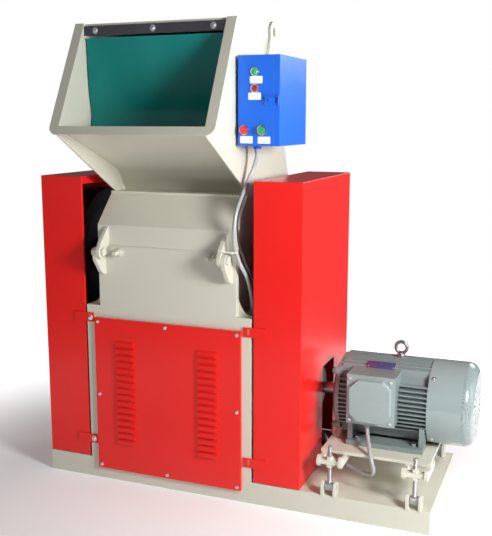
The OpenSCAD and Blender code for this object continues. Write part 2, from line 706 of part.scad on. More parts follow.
module motor_frame() color(motor_green) difference() {
    union() {
        motor_axis() side_profile(frame_x0, frame_x1) fin_section();
        pair_y() {
            block([foot_x0, foot_w / 2 - foot_rail, plate_z], [foot_x0 + foot_len, foot_w / 2,
                plate_z + foot_t]);
            for (x = [foot_x0, foot_x0 + foot_len - foot_t])
                block([x, foot_w / 2 - foot_rail, plate_z], [x + foot_t, foot_w / 2 - foot_t,
                    axis_z - core_d / 4]);
        }
        block([eye_x - eye_seat_w / 2, -eye_seat_w / 2, axis_z + core_d / 2 - over],
            [eye_x + eye_seat_w / 2, eye_seat_w / 2, axis_z + motor_d / 2]);
        block([tbox_x0, -tbox_in, tbox_z0], [tbox_x0 + tbox_w, -core_d / 4, tbox_z0 + tbox_h]);
    }
    motor_axis() rod_x(bore_d, frame_x0 - over, frame_x1 - end_wall);
    motor_axis() rod_x(motor_shaft_d + 2 * fit, frame_x0, frame_x1 + over);
    motor_foot_places() translate([0, 0, plate_z - over]) cylinder(d = m12_d, h = foot_t + 2 * over);
    block([tbox_x0 - over, -motor_d, tbox_z0 - over], [tbox_x0 + tbox_w + over, -tbox_in,
        tbox_z0 + tbox_h + over]);
    translate([eye_x, 0, axis_z + motor_d / 2 - eye_stem_l]) cylinder(d = m12_d, h = eye_stem_l + over);
}
module pair_y() { children(); mirror([0, 1, 0]) children(); }
shield_step = 7;                     // shield below the fins' tips
shield_d = motor_d - 2 * shield_step;
shield_nose_d = 120;
nose_l = 6;
shield_lug = 26;
module motor_end_shield() color(motor_green) motor_axis() difference() {
    union() {
        rod_x(shield_d, motor_x + shield_t / 2, frame_x0);
        translate([motor_x, 0, 0]) rotate([0, 90, 0])
            cylinder(d1 = shield_d * 0.78, d2 = shield_d, h = shield_t / 2);
        rod_x(shield_nose_d, motor_x - nose_l, motor_x);
        for (a = [45:90:315]) rotate([a, 0, 0]) translate([0, 0, shield_d / 2]) {
            rod_x(shield_lug, motor_x + shield_t / 4, frame_x0);
            translate([motor_x + shield_t / 4 - m12_h, 0, 0]) rotate([0, 90, 0]) hex(m12_flats * 0.8,
                m12_h);
        }
    }
    rod_x(motor_shaft_d + 2 * fit, motor_x - nose_l - over, frame_x0 + over);
    rod_x(shield_d * 0.7, motor_x + shield_t * 0.6, frame_x0 + over);
}
cowl_t = 2;
cowl_r = 34;
cowl_d = motor_d + cowl_t / 2;
vent_n = 24;
vent_w = 5;
vent_r = [38, 66];
vent_step = 34;
module cowl_half(shrink) {
    r = cowl_r - shrink;
    x1 = cowl_len - shrink;
    y1 = cowl_d / 2 - shrink;
    polygon(concat([[0, 0], [0, y1]], [for (a = [90:-10:0]) [x1 - r + r * cos(a), y1 - r + r * sin(a)]],
        [[x1, 0]]));
}
module cowl_body(shrink) rotate([0, 90, 0]) rotate_extrude($fn = 96) rotate([0, 0, 90]) mirror([0, 1,
    0]) cowl_half(shrink);
module fan_cowl() color(motor_green) motor_axis() translate([frame_x1, 0, 0]) difference() {
    cowl_body(0);
    difference() {
        cowl_body(cowl_t);
        translate([-2 * over, 0, 0]) rod_x(over, 0, over);
    }
    for (ring = [0, 1]) for (i = [0:vent_n - 1]) rotate([i * 360 / vent_n, 0, 0])
        block([cowl_len - 2 * cowl_t, -vent_w / 2, vent_r[0] + ring * vent_step],
            [cowl_len + over, vent_w / 2, vent_r[1] + ring * vent_step]);
}
module terminal_box() color(motor_green) {
    difference() {
        block([tbox_x0, -tbox_in - tbox_d, tbox_z0], [tbox_x0 + tbox_w, -tbox_in, tbox_z0 + tbox_h]);
        block([tbox_x0 + tbox_t, -tbox_in - tbox_d - over, tbox_z0 + tbox_t],
            [tbox_x0 + tbox_w - tbox_t, -tbox_in - tbox_t, tbox_z0 + tbox_h - tbox_t]);
        translate([motor_cable_route[0][0], motor_cable_route[0][1], tbox_z0 - over])
            cylinder(d = cable_d, h = tbox_t + 2 * over);
    }
    difference() {
        translate([motor_cable_route[0][0], motor_cable_route[0][1], tbox_z0 - tbox_gland_l])
            cylinder(d = gland_d, h = tbox_gland_l);
        translate([motor_cable_route[0][0], motor_cable_route[0][1], tbox_z0 - tbox_gland_l - over])
            cylinder(d = cable_d + 2 * seat, h = tbox_gland_l + 2 * over);
    }
}
tbox_t = 5;
tbox_gland_l = 12;
lid_base = 5;
lid_cut = 26;
lid_margin = 12;
module terminal_box_lid() color(motor_green) {
    block([tbox_x0, -tbox_in - tbox_d - lid_base, tbox_z0], [tbox_x0 + tbox_w, -tbox_in - tbox_d,
        tbox_z0 + tbox_h]);
    translate([tbox_x0 + tbox_w / 2, -tbox_in - tbox_d, tbox_z0 + tbox_h / 2]) rotate([90, 0, 0])
        linear_extrude(lid_d) lid_outline(tbox_w / 2 - lid_margin, tbox_h / 2 - lid_margin);
}
module lid_outline(a, b) polygon([[a, lid_cut - b], [a, b - lid_cut], [a - lid_cut, b], [lid_cut - a, b],
    [-a, b - lid_cut], [-a, lid_cut - b], [lid_cut - a, -b], [a - lid_cut, -b]]);
eye_od = 46;
eye_id = 25;
eye_ring_t = 10;
eye_stem_l = 14;
eye_collar_d = 26;
eye_collar_h = 8;
eye_rise = 30;                       // ring centre above its collar
module motor_eyebolt() color(steel) translate([eye_x, 0, axis_z + motor_d / 2]) {
    translate([0, 0, -eye_stem_l]) cylinder(d = m12_d, h = eye_stem_l);
    cylinder(d = eye_collar_d, h = eye_collar_h);
    difference() {
        union() {
            translate([0, eye_ring_t / 2, eye_rise]) rotate([90, 0, 0]) cylinder(d = eye_od,
                h = eye_ring_t);
            cylinder(d = eye_ring_t * 1.4, h = eye_rise - eye_id / 2 - over);
        }
        translate([0, eye_ring_t, eye_rise]) rotate([90, 0, 0]) cylinder(d = eye_id, h = 2 * eye_ring_t);
    }
}
lid_screw_d = 9;
lid_screw_h = 4;
foot_bolt_low = 12;
module motor_bolts() color(steel) {
    motor_foot_places() {
        translate([0, 0, plate_z - mplate_t - foot_bolt_low]) cylinder(d = m12_d,
            h = foot_bolt_low + mplate_t + foot_t);
        translate([0, 0, plate_z + foot_t]) hex(m12_flats, m12_h);
        translate([0, 0, plate_z - mplate_t - m12_h]) hex(m12_flats, m12_h);
    }
    for (x = [lid_margin, tbox_w - lid_margin]) for (z = [lid_margin, tbox_h - lid_margin])
        translate([tbox_x0 + x, 0, tbox_z0 + z])
            rod_y(lid_screw_d, -tbox_in - tbox_d - lid_base - lid_screw_h, -tbox_in - tbox_d - lid_base);
}
belt_n = 3;
belt_step = 19;
pulley_edge = 1.5;
pulley_w = belt_n * belt_step + 2 * pulley_edge;
pulley_gap = 12;
pulley_x = guard_out - pulley_gap - guard_t - pulley_w;
fan_gap = 12;
fan_x0 = frame_x1 + fan_gap;
fan_w = 50;
fan_play = 21;                       // fan's edge below the fins' tips
fan_d = motor_d - 2 * fan_play;
winding_h = 20;
rotor_core_d = bore_d - 2 * winding_h;
core_gap = 60;
module motor_shaft() color(steel) motor_axis() {
    rod_x(motor_shaft_d, pulley_x, fan_x0 + fan_w);
    rod_x(rotor_core_d, frame_x0 + core_gap, frame_x1 - core_gap);
}
blade_n = 6;
blade_t = 4;
fan_hub_d = 70;
module motor_fan() color(dark) motor_axis() difference() {
    union() {
        rod_x(fan_hub_d, fan_x0, fan_x0 + fan_w);
        rod_x(fan_d, fan_x0, fan_x0 + blade_t);
        for (i = [0:blade_n - 1]) rotate([i * 360 / blade_n, 0, 0])
            block([fan_x0, -blade_t / 2, 0], [fan_x0 + fan_w, blade_t / 2, fan_d / 2]);
    }
    rod_x(motor_shaft_d, fan_x0 - over, fan_x0 + fan_w + over);
}
groove_out = 4;
groove_in = 8;
groove_top = 8.5;
groove_low = 6.3;
module grooved(pitch_d) difference() {
    rod_x(pitch_d + 2 * groove_out, pulley_x, pulley_x + pulley_w);
    for (i = [0:belt_n - 1]) translate([pulley_x + pulley_w / 2 + (i - (belt_n - 1) / 2) * belt_step, 0, 0])
        rotate([0, 90, 0]) rotate_extrude($fn = 96) polygon([[pitch_d / 2 - groove_in - seat, -groove_low],
            [pitch_d / 2 + groove_out + over, -groove_top], [pitch_d / 2 + groove_out + over, groove_top],
            [pitch_d / 2 - groove_in - seat, groove_low]]);
}
module motor_pulley() color(dark) motor_axis() difference() {
    grooved(small_pitch_d);
    rod_x(motor_shaft_d, pulley_x - over, pulley_x + pulley_w + over);
}
web_t = 14;
hub_d = 110;
rim_t = 24;
module rotor_pulley() color(dark) rotor_line() difference() {
    grooved(big_pitch_d);
    for (s = [0, 1]) difference() {
        rod_x(big_pitch_d - 2 * rim_t, s == 0 ? pulley_x - over : pulley_x + (pulley_w + web_t) / 2,
            s == 0 ? pulley_x + (pulley_w - web_t) / 2 : pulley_x + pulley_w + over);
        rod_x(hub_d, pulley_x - 2 * over, pulley_x + pulley_w + 2 * over);
    }
    rod_x(shaft_d, pulley_x - over, pulley_x + pulley_w + over);
}
belt_half = 6;
belt_out = 3;
module belt_outline(grow) {
    a = big_pitch_d / 2 + grow;
    b = small_pitch_d / 2 + grow;
    s = (a - b) / (rotor_z - axis_z);
    c = sqrt(1 - s * s);
    translate([0, rotor_z]) circle(r = a, $fn = 96);
    translate([0, axis_z]) circle(r = b, $fn = 96);
    polygon([[a * c, rotor_z + a * s], [-a * c, rotor_z + a * s], [-b * c, axis_z + b * s], [b * c,
        axis_z + b * s]]);
}
module drive_belts() color(dark) for (i = [0:belt_n - 1])
    translate([pulley_x + pulley_w / 2 + (i - (belt_n - 1) / 2) * belt_step, 0, 0])
        side_profile(-belt_half, belt_half) difference() {
            belt_outline(belt_out);
            belt_outline(-groove_in);
        }

// Rotor
rotor_end = 15;                      // shaft beyond the flywheel
fly_w = 70;
fly_gap = 27;
fly_x0 = -guard_out + guard_t + fly_gap;
hub_gap = 6;
hub_len = 2 * (wall_in - hub_gap);
hub_share = 2 / 3;                   // sizes of the hub as shares of the cutting radius
arm_share = 0.82;
root_share = 0.4;
blade_share = 7 / 15;
bolt_share = 0.7;
rotor_hub_d = 2 * rotor_r * hub_share;
arm_r = rotor_r * arm_share;         // height of the knife seats from the rotor axis
arm_root = rotor_r * root_share;
seat_w = 46;
knife_n = 3;
blade_gap = 2;
blade_len = hub_len - 2 * blade_gap;
blade_h = rotor_r * blade_share;
blade_w = 12;
module rotor_shaft() color(steel) rotor_line() rod_x(shaft_d, fly_x0 - rotor_end, pulley_x + pulley_w);
knife_turn = 15;                     // how far the first knife stands past the top
module each_knife() rotor_line() for (i = [0:knife_n - 1]) rotate([i * 360 / knife_n + knife_turn, 0,
    0]) children();
module knife_turns() for (i = [0:knife_n - 1]) rotate(i * 360 / knife_n + knife_turn) children();
module hub_section() difference() {
    union() {
        circle(d = rotor_hub_d, $fn = 96);
        knife_turns() translate([blade_w - over, arm_root]) square([seat_w + over, arm_r - arm_root]);
    }
    circle(d = shaft_d);
    knife_turns() translate([-seat_w, rotor_r - blade_h]) square([seat_w + blade_w, blade_h]);
}
module rotor_hub() color(dark) rotor_line() side_profile(-hub_len / 2, hub_len / 2) hub_section();
module rotor_knives() color(steel) difference() {
    each_knife() side_profile(-blade_len / 2, blade_len / 2)
        polygon([[0, rotor_r - blade_h], [blade_w, rotor_r - blade_h], [blade_w, rotor_r - blade_w], [0,
            rotor_r - over / 2]]);
    knife_bolt_places() rod_y(m12_d, -over, blade_w + over);
}
knife_bolt_n = 4;
knife_bolt_end = 43;                 // outer bolts from the knife's ends
knife_bolt_step = (blade_len - 2 * knife_bolt_end) / (knife_bolt_n - 1);
knife_bolt_r = rotor_r * bolt_share;
module knife_bolt_places() each_knife() for (i = [0:knife_bolt_n - 1])
    translate([(i - (knife_bolt_n - 1) / 2) * knife_bolt_step, 0, knife_bolt_r]) children();
module knife_bolts() color(dark) knife_bolt_places() {
    rod_y(m12_d, 0, blade_w);
    rotate([90, 0, 0]) hex(m12_flats, m12_h);
}
fly_rim = 50;
fly_web = 20;
module flywheel() color(dark) rotor_line() difference() {
    rod_x(flywheel_d, fly_x0, fly_x0 + fly_w);
    for (s = [0, 1]) difference() {
        rod_x(flywheel_d - 2 * fly_rim, s == 0 ? fly_x0 - over : fly_x0 + (fly_w + fly_web) / 2,
            s == 0 ? fly_x0 + (fly_w - fly_web) / 2 : fly_x0 + fly_w + over);
        rod_x(hub_d, fly_x0 - 2 * over, fly_x0 + fly_w + 2 * over);
    }
    rod_x(shaft_d, fly_x0 - over, fly_x0 + fly_w + over);
}

// Upper chamber
crease_rise = 66;
crease_z = seam + crease_rise;
ledge_in = 98;
ledge_y = front + ledge_in;
throat_in = 181;
throat_front = front + throat_in;
upper_low = seam + seam_gap;
module upper_chamber() color(cream) difference() {
    union() {
        pair() side_profile(wall_in, wall_out) polygon([[front, upper_low], [front, crease_z],
            [ledge_y, ledge_z], [chamber_back, ledge_z], [chamber_back, upper_low]]);
        side_profile(-skin_x, skin_x) polygon(sheet_line([[front, upper_low], [front, crease_z],
            [ledge_y, ledge_z]], -plate_t));
        pair() side_profile(wall_out, skin_x) polygon(sheet_line([[front, upper_low], [front, crease_z],
            [ledge_y, ledge_z]], -edge_d));
        block([-wall_out, chamber_back - plate_t, upper_low], [wall_out, chamber_back, ledge_z]);
        block([-skin_x, ledge_y - plate_t, ledge_z - plate_t], [skin_x, chamber_back, ledge_z]);
    }
    block([-wall_in, throat_front, ledge_z - 2 * plate_t], [wall_in, chamber_back - plate_t,
        ledge_z + over]);
    block([-skin_x - over, front, ledge_z], [skin_x + over, chamber_back, ledge_z + edge_d]);
}

// Hopper: places of its outline, forward and up from the rotor line and the ledge
mouth_low_out = 201;
mouth_low_y = front - mouth_low_out;
mouth_drop = 306;                    // mouth from its top to its bottom edge
mouth_low_rise = mouth_rise - mouth_drop;
mouth_top_out = 45;
mouth_top_y = front - mouth_top_out;
roof_in = 242;                       // roof's back edge from the chamber's back
roof_drop = 23;
roof_y = chamber_back - roof_in;
roof_rise = mouth_rise - roof_drop;
crown_in = 200;
crown_drop = 75;
crown_y = chamber_back - crown_in;
crown_rise = mouth_rise - crown_drop;
slope_in = 50;
slope_y = chamber_back - slope_in;
slope_rise = 141;
foot_step = 11;
foot_y = chamber_back - foot_step;
foot_rise = 43;
belly_in = 108;
belly_front_y = front + belly_in;
bend_in = 131;
bend_y = front + bend_in;
bend_rise = 75;
mouth_low = [mouth_low_y, ledge_z + mouth_low_rise];
mouth_top = [mouth_top_y, ledge_z + mouth_rise];
back_line = [mouth_top, [roof_y, ledge_z + roof_rise], [crown_y, ledge_z + crown_rise],
    [slope_y, ledge_z + slope_rise], [foot_y, ledge_z + foot_rise], [chamber_back, ledge_z]];
bend = [bend_y, ledge_z + bend_rise];
mouth_len = norm(mouth_top - mouth_low);
mouth_lean = atan2(mouth_top[0] - mouth_low[0], mouth_top[1] - mouth_low[1]);
mouth_dir = unit(mouth_low - mouth_top);
chin = mouth_low + mouth_dir * lip_w;
lip_r = 26;
flap_h = 35;                         // folded edge behind the curtain strip
module mouth_plane() translate([0, mouth_low[0], mouth_low[1]]) rotate([90 - mouth_lean, 0, 0]) children();
module lip_outline() {
    w = skin_x + lip_w;
    difference() {
        union() {
            translate([-w, lip_r - lip_w]) square([2 * w, mouth_len + lip_w - lip_r]);
            translate([lip_r - w, -lip_w]) square([2 * (w - lip_r), lip_r]);
            for (s = [-1, 1]) translate([s * (w - lip_r), lip_r - lip_w]) circle(r = lip_r);
        }
        translate([sheet_t - skin_x, 0]) square([2 * (skin_x - sheet_t), mouth_len + over]);
    }
}
module hopper_shell() color(cream) difference() {
    hopper_body();
    block([-chamber_w, front, seam], [chamber_w, chamber_back + over, ledge_z]);
}
module hopper_body() {
    pair() side_profile(skin_x - sheet_t, skin_x)
        polygon(concat(back_line, [[belly_front_y, ledge_z], chin]));
    side_profile(sheet_t - skin_x, skin_x - sheet_t) {
        polygon(sheet_line(back_line, -sheet_t));
        polygon(sheet_line([mouth_low - unit(bend - mouth_low) * over, bend, [throat_front, ledge_z]],
            -sheet_t));
        translate([mouth_top_y, ledge_z + mouth_rise - flap_h]) square([sheet_t, flap_h - sheet_t / 2]);
    }
    mouth_plane() linear_extrude(sheet_t) lip_outline();
}
lug_in = 187;                        // lug's hole from the chamber's back
lug_y = chamber_back - lug_in;
lug_r = 33;
lug_drop = 9;
lug_rise = mouth_rise - lug_drop;
lug_hole_d = 26;
lug_t = 10;
lug_shares = [0.85, 0.3];             // neck corners inside the round head, as shares of its radius
module lifting_lug() color(cream) difference() {
    union() {
        translate([0, lug_y, ledge_z + lug_rise]) rod_x(2 * lug_r, skin_x, skin_x + lug_t);
        side_profile(skin_x, skin_x + lug_t)
            polygon([[lug_y - lug_r * lug_shares[0], ledge_z + lug_rise - lug_r * lug_shares[1]],
                [lug_y + lug_r * lug_shares[0], ledge_z + lug_rise - lug_r * lug_shares[1]],
                [crown_y + lug_r, ledge_z + crown_rise], [crown_y + lug_r,
                    ledge_z + crown_rise - 2 * lug_r],
                [crown_y, ledge_z + crown_rise - 2 * lug_r], [roof_y, ledge_z + crown_rise - lug_r]]);
    }
    translate([0, lug_y, ledge_z + lug_rise]) rod_x(lug_hole_d, skin_x - over, skin_x + lug_t + over);
}

// Curtain
bar_t = 5;
strip_gap = 2;
strip_h = flap_h - sheet_t - strip_gap;
curtain_gap = 0.5;
curtain_top = ledge_z + mouth_rise - flap_h;
curtain_y = mouth_top_y - curtain_t / 2;
curtain_side = 3;
curtain_half = skin_x - sheet_t - curtain_side;
curtain_l = 329;
sag_shares = [[0, 0], [4 / 329, -95 / 329], [10 / 329, -169 / 329], [20 / 329, -231 / 329],
    [15 / 329, -275 / 329], [14 / 329, -1]];
curtain_sag = curtain_l * sag_shares;
module curtain_bar() color(dark) difference() {
    union() {
        block([-curtain_half, mouth_top_y - curtain_t - bar_t, curtain_top],
            [curtain_half, mouth_top_y - curtain_t, curtain_top + strip_h]);
        block([-curtain_half, mouth_top_y - curtain_t, curtain_top], [curtain_half, mouth_top_y,
            curtain_top + strip_h]);
    }
    curtain_bolt_places() rod_y(m6_d, mouth_top_y - 2 * flap_h, mouth_top_y + over);
}
curtain_bolt_end = 37;
curtain_bolt_x = curtain_half - curtain_bolt_end;
module curtain_bolt_places() for (i = [-1:1])
    translate([i * curtain_bolt_x, 0, curtain_top + strip_h / 2]) children();
module curtain_bolts() color(steel) curtain_bolt_places() {
    rod_y(m6_d, mouth_top_y - curtain_t - bar_t, mouth_top_y);
    rod_y(m6_head_d, mouth_top_y - curtain_t - bar_t - m6_head_h, mouth_top_y - curtain_t - bar_t);
}
module curtain() color("teal") side_profile(-curtain_half, curtain_half)
    polygon(sheet_line([for (p = curtain_sag) [curtain_y + curtain_t / 2 + p[0],
        curtain_top - curtain_gap + p[1]]], -curtain_t));

// Control box
box_gap = 10;
box_x0 = skin_x + box_gap;
box_x1 = box_x0 + box_w;
box_out = 5;
box_front = front - box_out;
box_back = box_front + box_d;
box_lift = 154;
box_low = ledge_z + box_lift;
box_top = box_low + box_h;
box_t = 2;
rail_w = 30;
button_d = 22;
bezel_d = 29;
lamp_d = 20;
lamp_in = 53;
lamp_x = box_x0 + lamp_in;
lamp_drop = 47;
lamp_z = [box_top - lamp_drop, box_top - 2 * lamp_drop];
button_ins = [20, 76];               // stop and start button from the box's side
stop_x = box_x0 + button_ins[0];
start_x = box_x0 + button_ins[1];
button_lift = 46;
button_z = box_low + button_lift;
module box_hole(x, z, d) translate([x, 0, z]) rod_y(d, box_front - over, box_front + box_t + over);
module control_box() color(blue) difference() {
    union() {
        difference() {
            block([box_x0, box_front, box_low], [box_x1, box_back, box_top]);
            block([box_x0 + box_t, box_front + box_t, box_low + box_t], [box_x1 + over,
                box_back - box_t, box_top - box_t]);
        }
        for (z = [box_low + rail_w, box_top - 2 * rail_w])
            block([skin_x, box_front + rail_w, z], [box_x0 + box_t, box_back - rail_w, z + rail_w]);
        translate([cable_route[0][0], cable_route[0][1], box_low - gland_out]) cylinder(d = gland_d,
            h = gland_out + box_t);
    }
    translate([cable_route[0][0], cable_route[0][1], box_low - gland_out - over])
        cylinder(d = cable_d + 2 * seat, h = gland_out + box_t + 2 * over);
    box_hole(stop_x, button_z, button_d + 2 * seat);
    box_hole(start_x, button_z, button_d + 2 * seat);
    for (z = lamp_z) box_hole(lamp_x, z, lamp_d);
}
door_gap = 0.5;
barrel_d = 8;
barrel_l = 40;
module box_door() color(blue) difference() {
    union() {
        block([box_x1 + door_gap, box_front, box_low], [box_x1 + door_gap + door_t, box_back, box_top]);
        for (z = [box_low + barrel_l, box_top - 2 * barrel_l])
            translate([box_x1 + door_gap + barrel_d / 2, box_back + barrel_d / 2, z])
                cylinder(d = barrel_d, h = barrel_l);
        for (z = [box_low + barrel_l, box_top - 2 * barrel_l])
            block([box_x1 + door_gap + barrel_d / 2, box_back - over, z],
                [box_x1 + door_gap + barrel_d, box_back + barrel_d / 2, z + barrel_l]);
    }
    block([box_x1, box_front + box_t, box_low + box_t], [box_x1 + door_gap + door_t - box_t,
        box_back - box_t, box_top - box_t]);
}
latch_lift = 131;
latch_z = box_low + latch_lift;
latch_len = 50;
latch_h = 30;
latch_t = 7;
latch_x = box_x1 + door_gap + door_t - latch_len;
module box_latch() color(blue) {
    block([latch_x + latch_t, box_front - latch_t - curtain_gap, latch_z - latch_h / 2],
        [latch_x + latch_len - over, box_front - curtain_gap, latch_z + latch_h / 2]);
    translate([latch_x + latch_t, box_front - curtain_gap - latch_t / 2, latch_z - latch_h / 2])
        cylinder(d = latch_t, h = latch_h);
    block([latch_x + latch_len / 2, box_front - 2 * latch_t, latch_z - latch_h / 4],
        [latch_x + latch_len * 0.8, box_front - latch_t / 2, latch_z + latch_h / 4]);
}
lamp_out = 8;
lamp_rim_d = 26;
lamp_lens_d = 18;
module indicator_lamps() for (i = [0, 1]) color(i == 0 ? "green" : "red") translate([lamp_x, 0,
    lamp_z[i]]) {
    rod_y(lamp_d, box_front - lamp_out / 2, box_front + box_t);
    rod_y(lamp_rim_d, box_front - lamp_out / 2, box_front);
    rod_y(lamp_lens_d, box_front - lamp_out, box_front);
}
bezel_out = 7;
module button_bezels() color(steel) for (x = [stop_x, start_x]) translate([x, 0, button_z]) difference() {
    rod_y(bezel_d, box_front - bezel_out, box_front);
    rod_y(button_d + 2 * seat, box_front - bezel_out - over, box_front + over);
}
cap_out = 13;
cap_in = 5;
module button(x) translate([x, 0, button_z]) rod_y(button_d, box_front - cap_out, box_front + cap_in);
module start_button() color("green") button(start_x);
module stop_button() color("red") button(stop_x);

// Cables
cable_d = 12;
gland_d = 24;
gland_h = 12;
gland_out = 10;
sides = 8;                           // faces round a cable
cable_in = [34, 75];                 // gland in the control box, from its inner front corner
cable_top = [box_x0 + cable_in[0], box_front + cable_in[1] - box_out, box_low + box_t];
cable_foot_in = [20, 60];            // gland on the cabinet's top, from its front corner
cable_foot = [cab_x - cable_foot_in[0], front + cable_foot_in[1], body_top];
// Steps from the upper gland, then from the lower one
cable_falls = [[0, 0, 0], [0, 0, -13], [0, 0, -26], [-3, -2, -43], [-7, -5, -61], [-12, -10, -79],
    [-18, -18, -97], [-23, -35, -121], [-27, -52, -145], [-31, -71, -172], [-34, -86, -199], [-36, -94,
        -227],
    [-37, -98, -255], [-37, -97, -281], [-35, -92, -309]];
cable_rises = [[-16, -79, 192], [-12, -71, 170], [-6, -53, 143], [-2, -35, 118], [-1, -20, 92], [0, -11,
    67],
    [0, -4, 49], [0, -1, 32], [0, 0, 16], [0, 0, 0]];
cable_route = concat([for (d = cable_falls) cable_top + d], [for (d = cable_rises) cable_foot + d]);
lead_in = [62.5, 43];                // gland under the terminal box, from its end and its back
lead_top = [tbox_x0 + lead_in[0], -tbox_in - lead_in[1], tbox_z0];
lead_foot_y = -100;
lead_foot_lift = 60;
lead_foot = [cab_x, lead_foot_y, base_h + lead_foot_lift];
lead_slot_y = 10;
lead_slot_lift = 26;                 // lead above the slot's lower edge
lead_slot = [guard_out, lead_slot_y, slot_z[0] + lead_slot_lift];
lead_falls = [[0, 0, 0], [0, 0, -19], [4, -10, -36], [13, -30, -55], [21, -48, -71], [27, -62, -85],
    [34, -70, -100], [39, -72, -117], [38, -69, -131], [31, -64, -139], [16, -55, -143], [-4, -44, -145],
    [-28, -31, -144], [-53, -18, -141]];
lead_mids = [[102, -156, -8], [78, -134, -8], [57, -105, -7], [36, -76, -4], [16, -36, -2], [0, 0, 0],
    [-15, 12, 1], [-30, 10, 0], [-44, -5, -3], [-58, -30, -6]];
lead_rises = [[82, 50, 6], [60, 20, 2], [41, 8, 1], [20, 0, 0], [0, 0, 0]];
motor_cable_route = concat([for (d = lead_falls) lead_top + d], [for (d = lead_mids) lead_slot + d],
    [for (d = lead_rises) lead_foot + d]);
gland_a = cable_route[len(cable_route) - 1];
gland_b = motor_cable_route[len(motor_cable_route) - 1];
function tangent(p, i) = unit(p[min(i + 1, len(p) - 1)] - p[max(i - 1, 0)]);
function ring(p, i, up) = let (t = tangent(p, i), u = unit(cross(up, t)), v = cross(t, u))
    [for (k = [0:sides - 1]) p[i] + cable_d / 2 * (cos(k * 360 / sides) * u + sin(k * 360 / sides) * v)];
module tube(p, up) {
    n = len(p);
    polyhedron(points = [for (i = [0:n - 1]) each ring(p, i, up)],
        faces = concat([[for (k = [0:sides - 1]) k], [for (k = [sides - 1:-1:0]) (n - 1) * sides + k]],
            [for (i = [0:n - 2]) for (k = [0:sides - 1]) each [
                [i * sides + k, (i + 1) * sides + k, (i + 1) * sides + (k + 1) % sides],
                [i * sides + k, (i + 1) * sides + (k + 1) % sides, i * sides + (k + 1) % sides]]]));
}
module control_cable() color("gray") tube(cable_route, [0, 1, 0.2]);
module motor_cable() color("gray") tube(motor_cable_route, [0.2, 1, 0.3]);

base_frame();
base_deck();
cabinet_body();
front_panel();
panel_screws();
lower_chamber();
lower_hinge_ears();
hinge_bolts();
clamp_studs();
bed_knives();
bed_knife_bolts();
screen();
screen_cradle();
discharge_chute();
bearing_housings();
rotor_bearings();
guard_left();
guard_right();
guard_straps();
guard_strap_bolts();
drawer_runners();
drawer();
drawer_handle();
adjuster_brackets();
adjuster_rods();
adjuster_nuts();
drive_belts();
control_cable();
motor_cable();
motor_plate();
motor_frame();
motor_end_shield();
fan_cowl();
terminal_box();
terminal_box_lid();
motor_eyebolt();
motor_bolts();
motor_shaft();
motor_fan();
motor_pulley();
rotor_shaft();
rotor_hub();
rotor_knives();
knife_bolts();
flywheel();
rotor_pulley();
upper_chamber();
upper_hinge_ears();
hopper_shell();
lifting_lug();
curtain_bar();
curtain_bolts();
curtain();
control_box();
box_door();
box_latch();
indicator_lamps();
button_bezels();
start_button();
stop_button();
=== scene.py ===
"""Dressed model of a plastic granulator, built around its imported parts.

The machine has a tilting feed hopper over a knife rotor, red belt guards, a blue control box and
a foot-mounted motor. Lengths are in metres, +Z is up and the feed side faces -Y.
"""

from __future__ import annotations

import logging
import math
from collections.abc import Callable, Mapping, Sequence
from dataclasses import dataclass
from enum import Enum

import bmesh
import bpy
from mathutils import Matrix, Vector

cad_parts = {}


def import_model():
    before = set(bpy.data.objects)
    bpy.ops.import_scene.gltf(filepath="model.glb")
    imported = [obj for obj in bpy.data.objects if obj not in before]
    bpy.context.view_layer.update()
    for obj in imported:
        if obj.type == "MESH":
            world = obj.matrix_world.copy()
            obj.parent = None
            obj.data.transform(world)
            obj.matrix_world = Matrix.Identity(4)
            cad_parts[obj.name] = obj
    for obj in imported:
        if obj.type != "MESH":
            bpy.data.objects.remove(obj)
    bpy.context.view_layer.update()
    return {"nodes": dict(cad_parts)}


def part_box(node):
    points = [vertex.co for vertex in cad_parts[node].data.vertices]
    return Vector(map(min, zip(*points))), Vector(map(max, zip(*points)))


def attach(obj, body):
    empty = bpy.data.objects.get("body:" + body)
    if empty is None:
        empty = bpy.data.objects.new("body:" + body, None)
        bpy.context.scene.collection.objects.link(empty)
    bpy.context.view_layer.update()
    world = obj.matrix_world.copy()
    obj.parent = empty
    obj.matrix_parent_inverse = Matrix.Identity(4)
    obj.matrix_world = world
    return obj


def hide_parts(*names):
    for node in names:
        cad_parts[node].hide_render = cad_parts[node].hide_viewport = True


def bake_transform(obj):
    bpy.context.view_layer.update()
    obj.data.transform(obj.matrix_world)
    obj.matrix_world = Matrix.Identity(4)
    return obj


LOG = logging.getLogger("granulator")
Colour = tuple[float, float, float]
Point = tuple[float, float, float]
Path = Sequence[Point]
Outline = Sequence[tuple[float, float]]
FORWARD: Point = (0, -1, 0)
BACKWARD: Point = (0, 1, 0)
UPWARD: Point = (0, 0, 1)
WHITE: Colour = (1.0, 1.0, 1.0)
SMOOTH_UNDER = math.radians(35.0)
WELD_STEP = 0.0022
WELD_RIPPLE = 0.0055
WELD_SWELL = 0.14
WELD_TIP = 0.35
WELD_TAPER = 12


class Body(Enum):
    """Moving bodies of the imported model."""

    FRAME = "frame"
    HOPPER = "hopper"
    CURTAIN = "curtain"
    DOOR = "box_door"
    LATCH = "box_latch"
    START = "start_button"
    STOP = "stop_button"
    MOTOR = "motor_carriage"


class Slot(Enum):
    """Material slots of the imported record."""

    CREAM = "cream_paint"
    RED = "red_paint"
    BLUE = "blue_paint"
    MOTOR = "motor_paint"
    STEEL = "bright_steel"
    IRON = "dark_iron"
    CURTAIN = "curtain_rubber"
    BELT = "belt_rubber"
    SHEATH = "cable_sheath"
    GREEN = "green_button"
    STOP = "red_button"
    LENS = "lamp_lens"


# Shader building


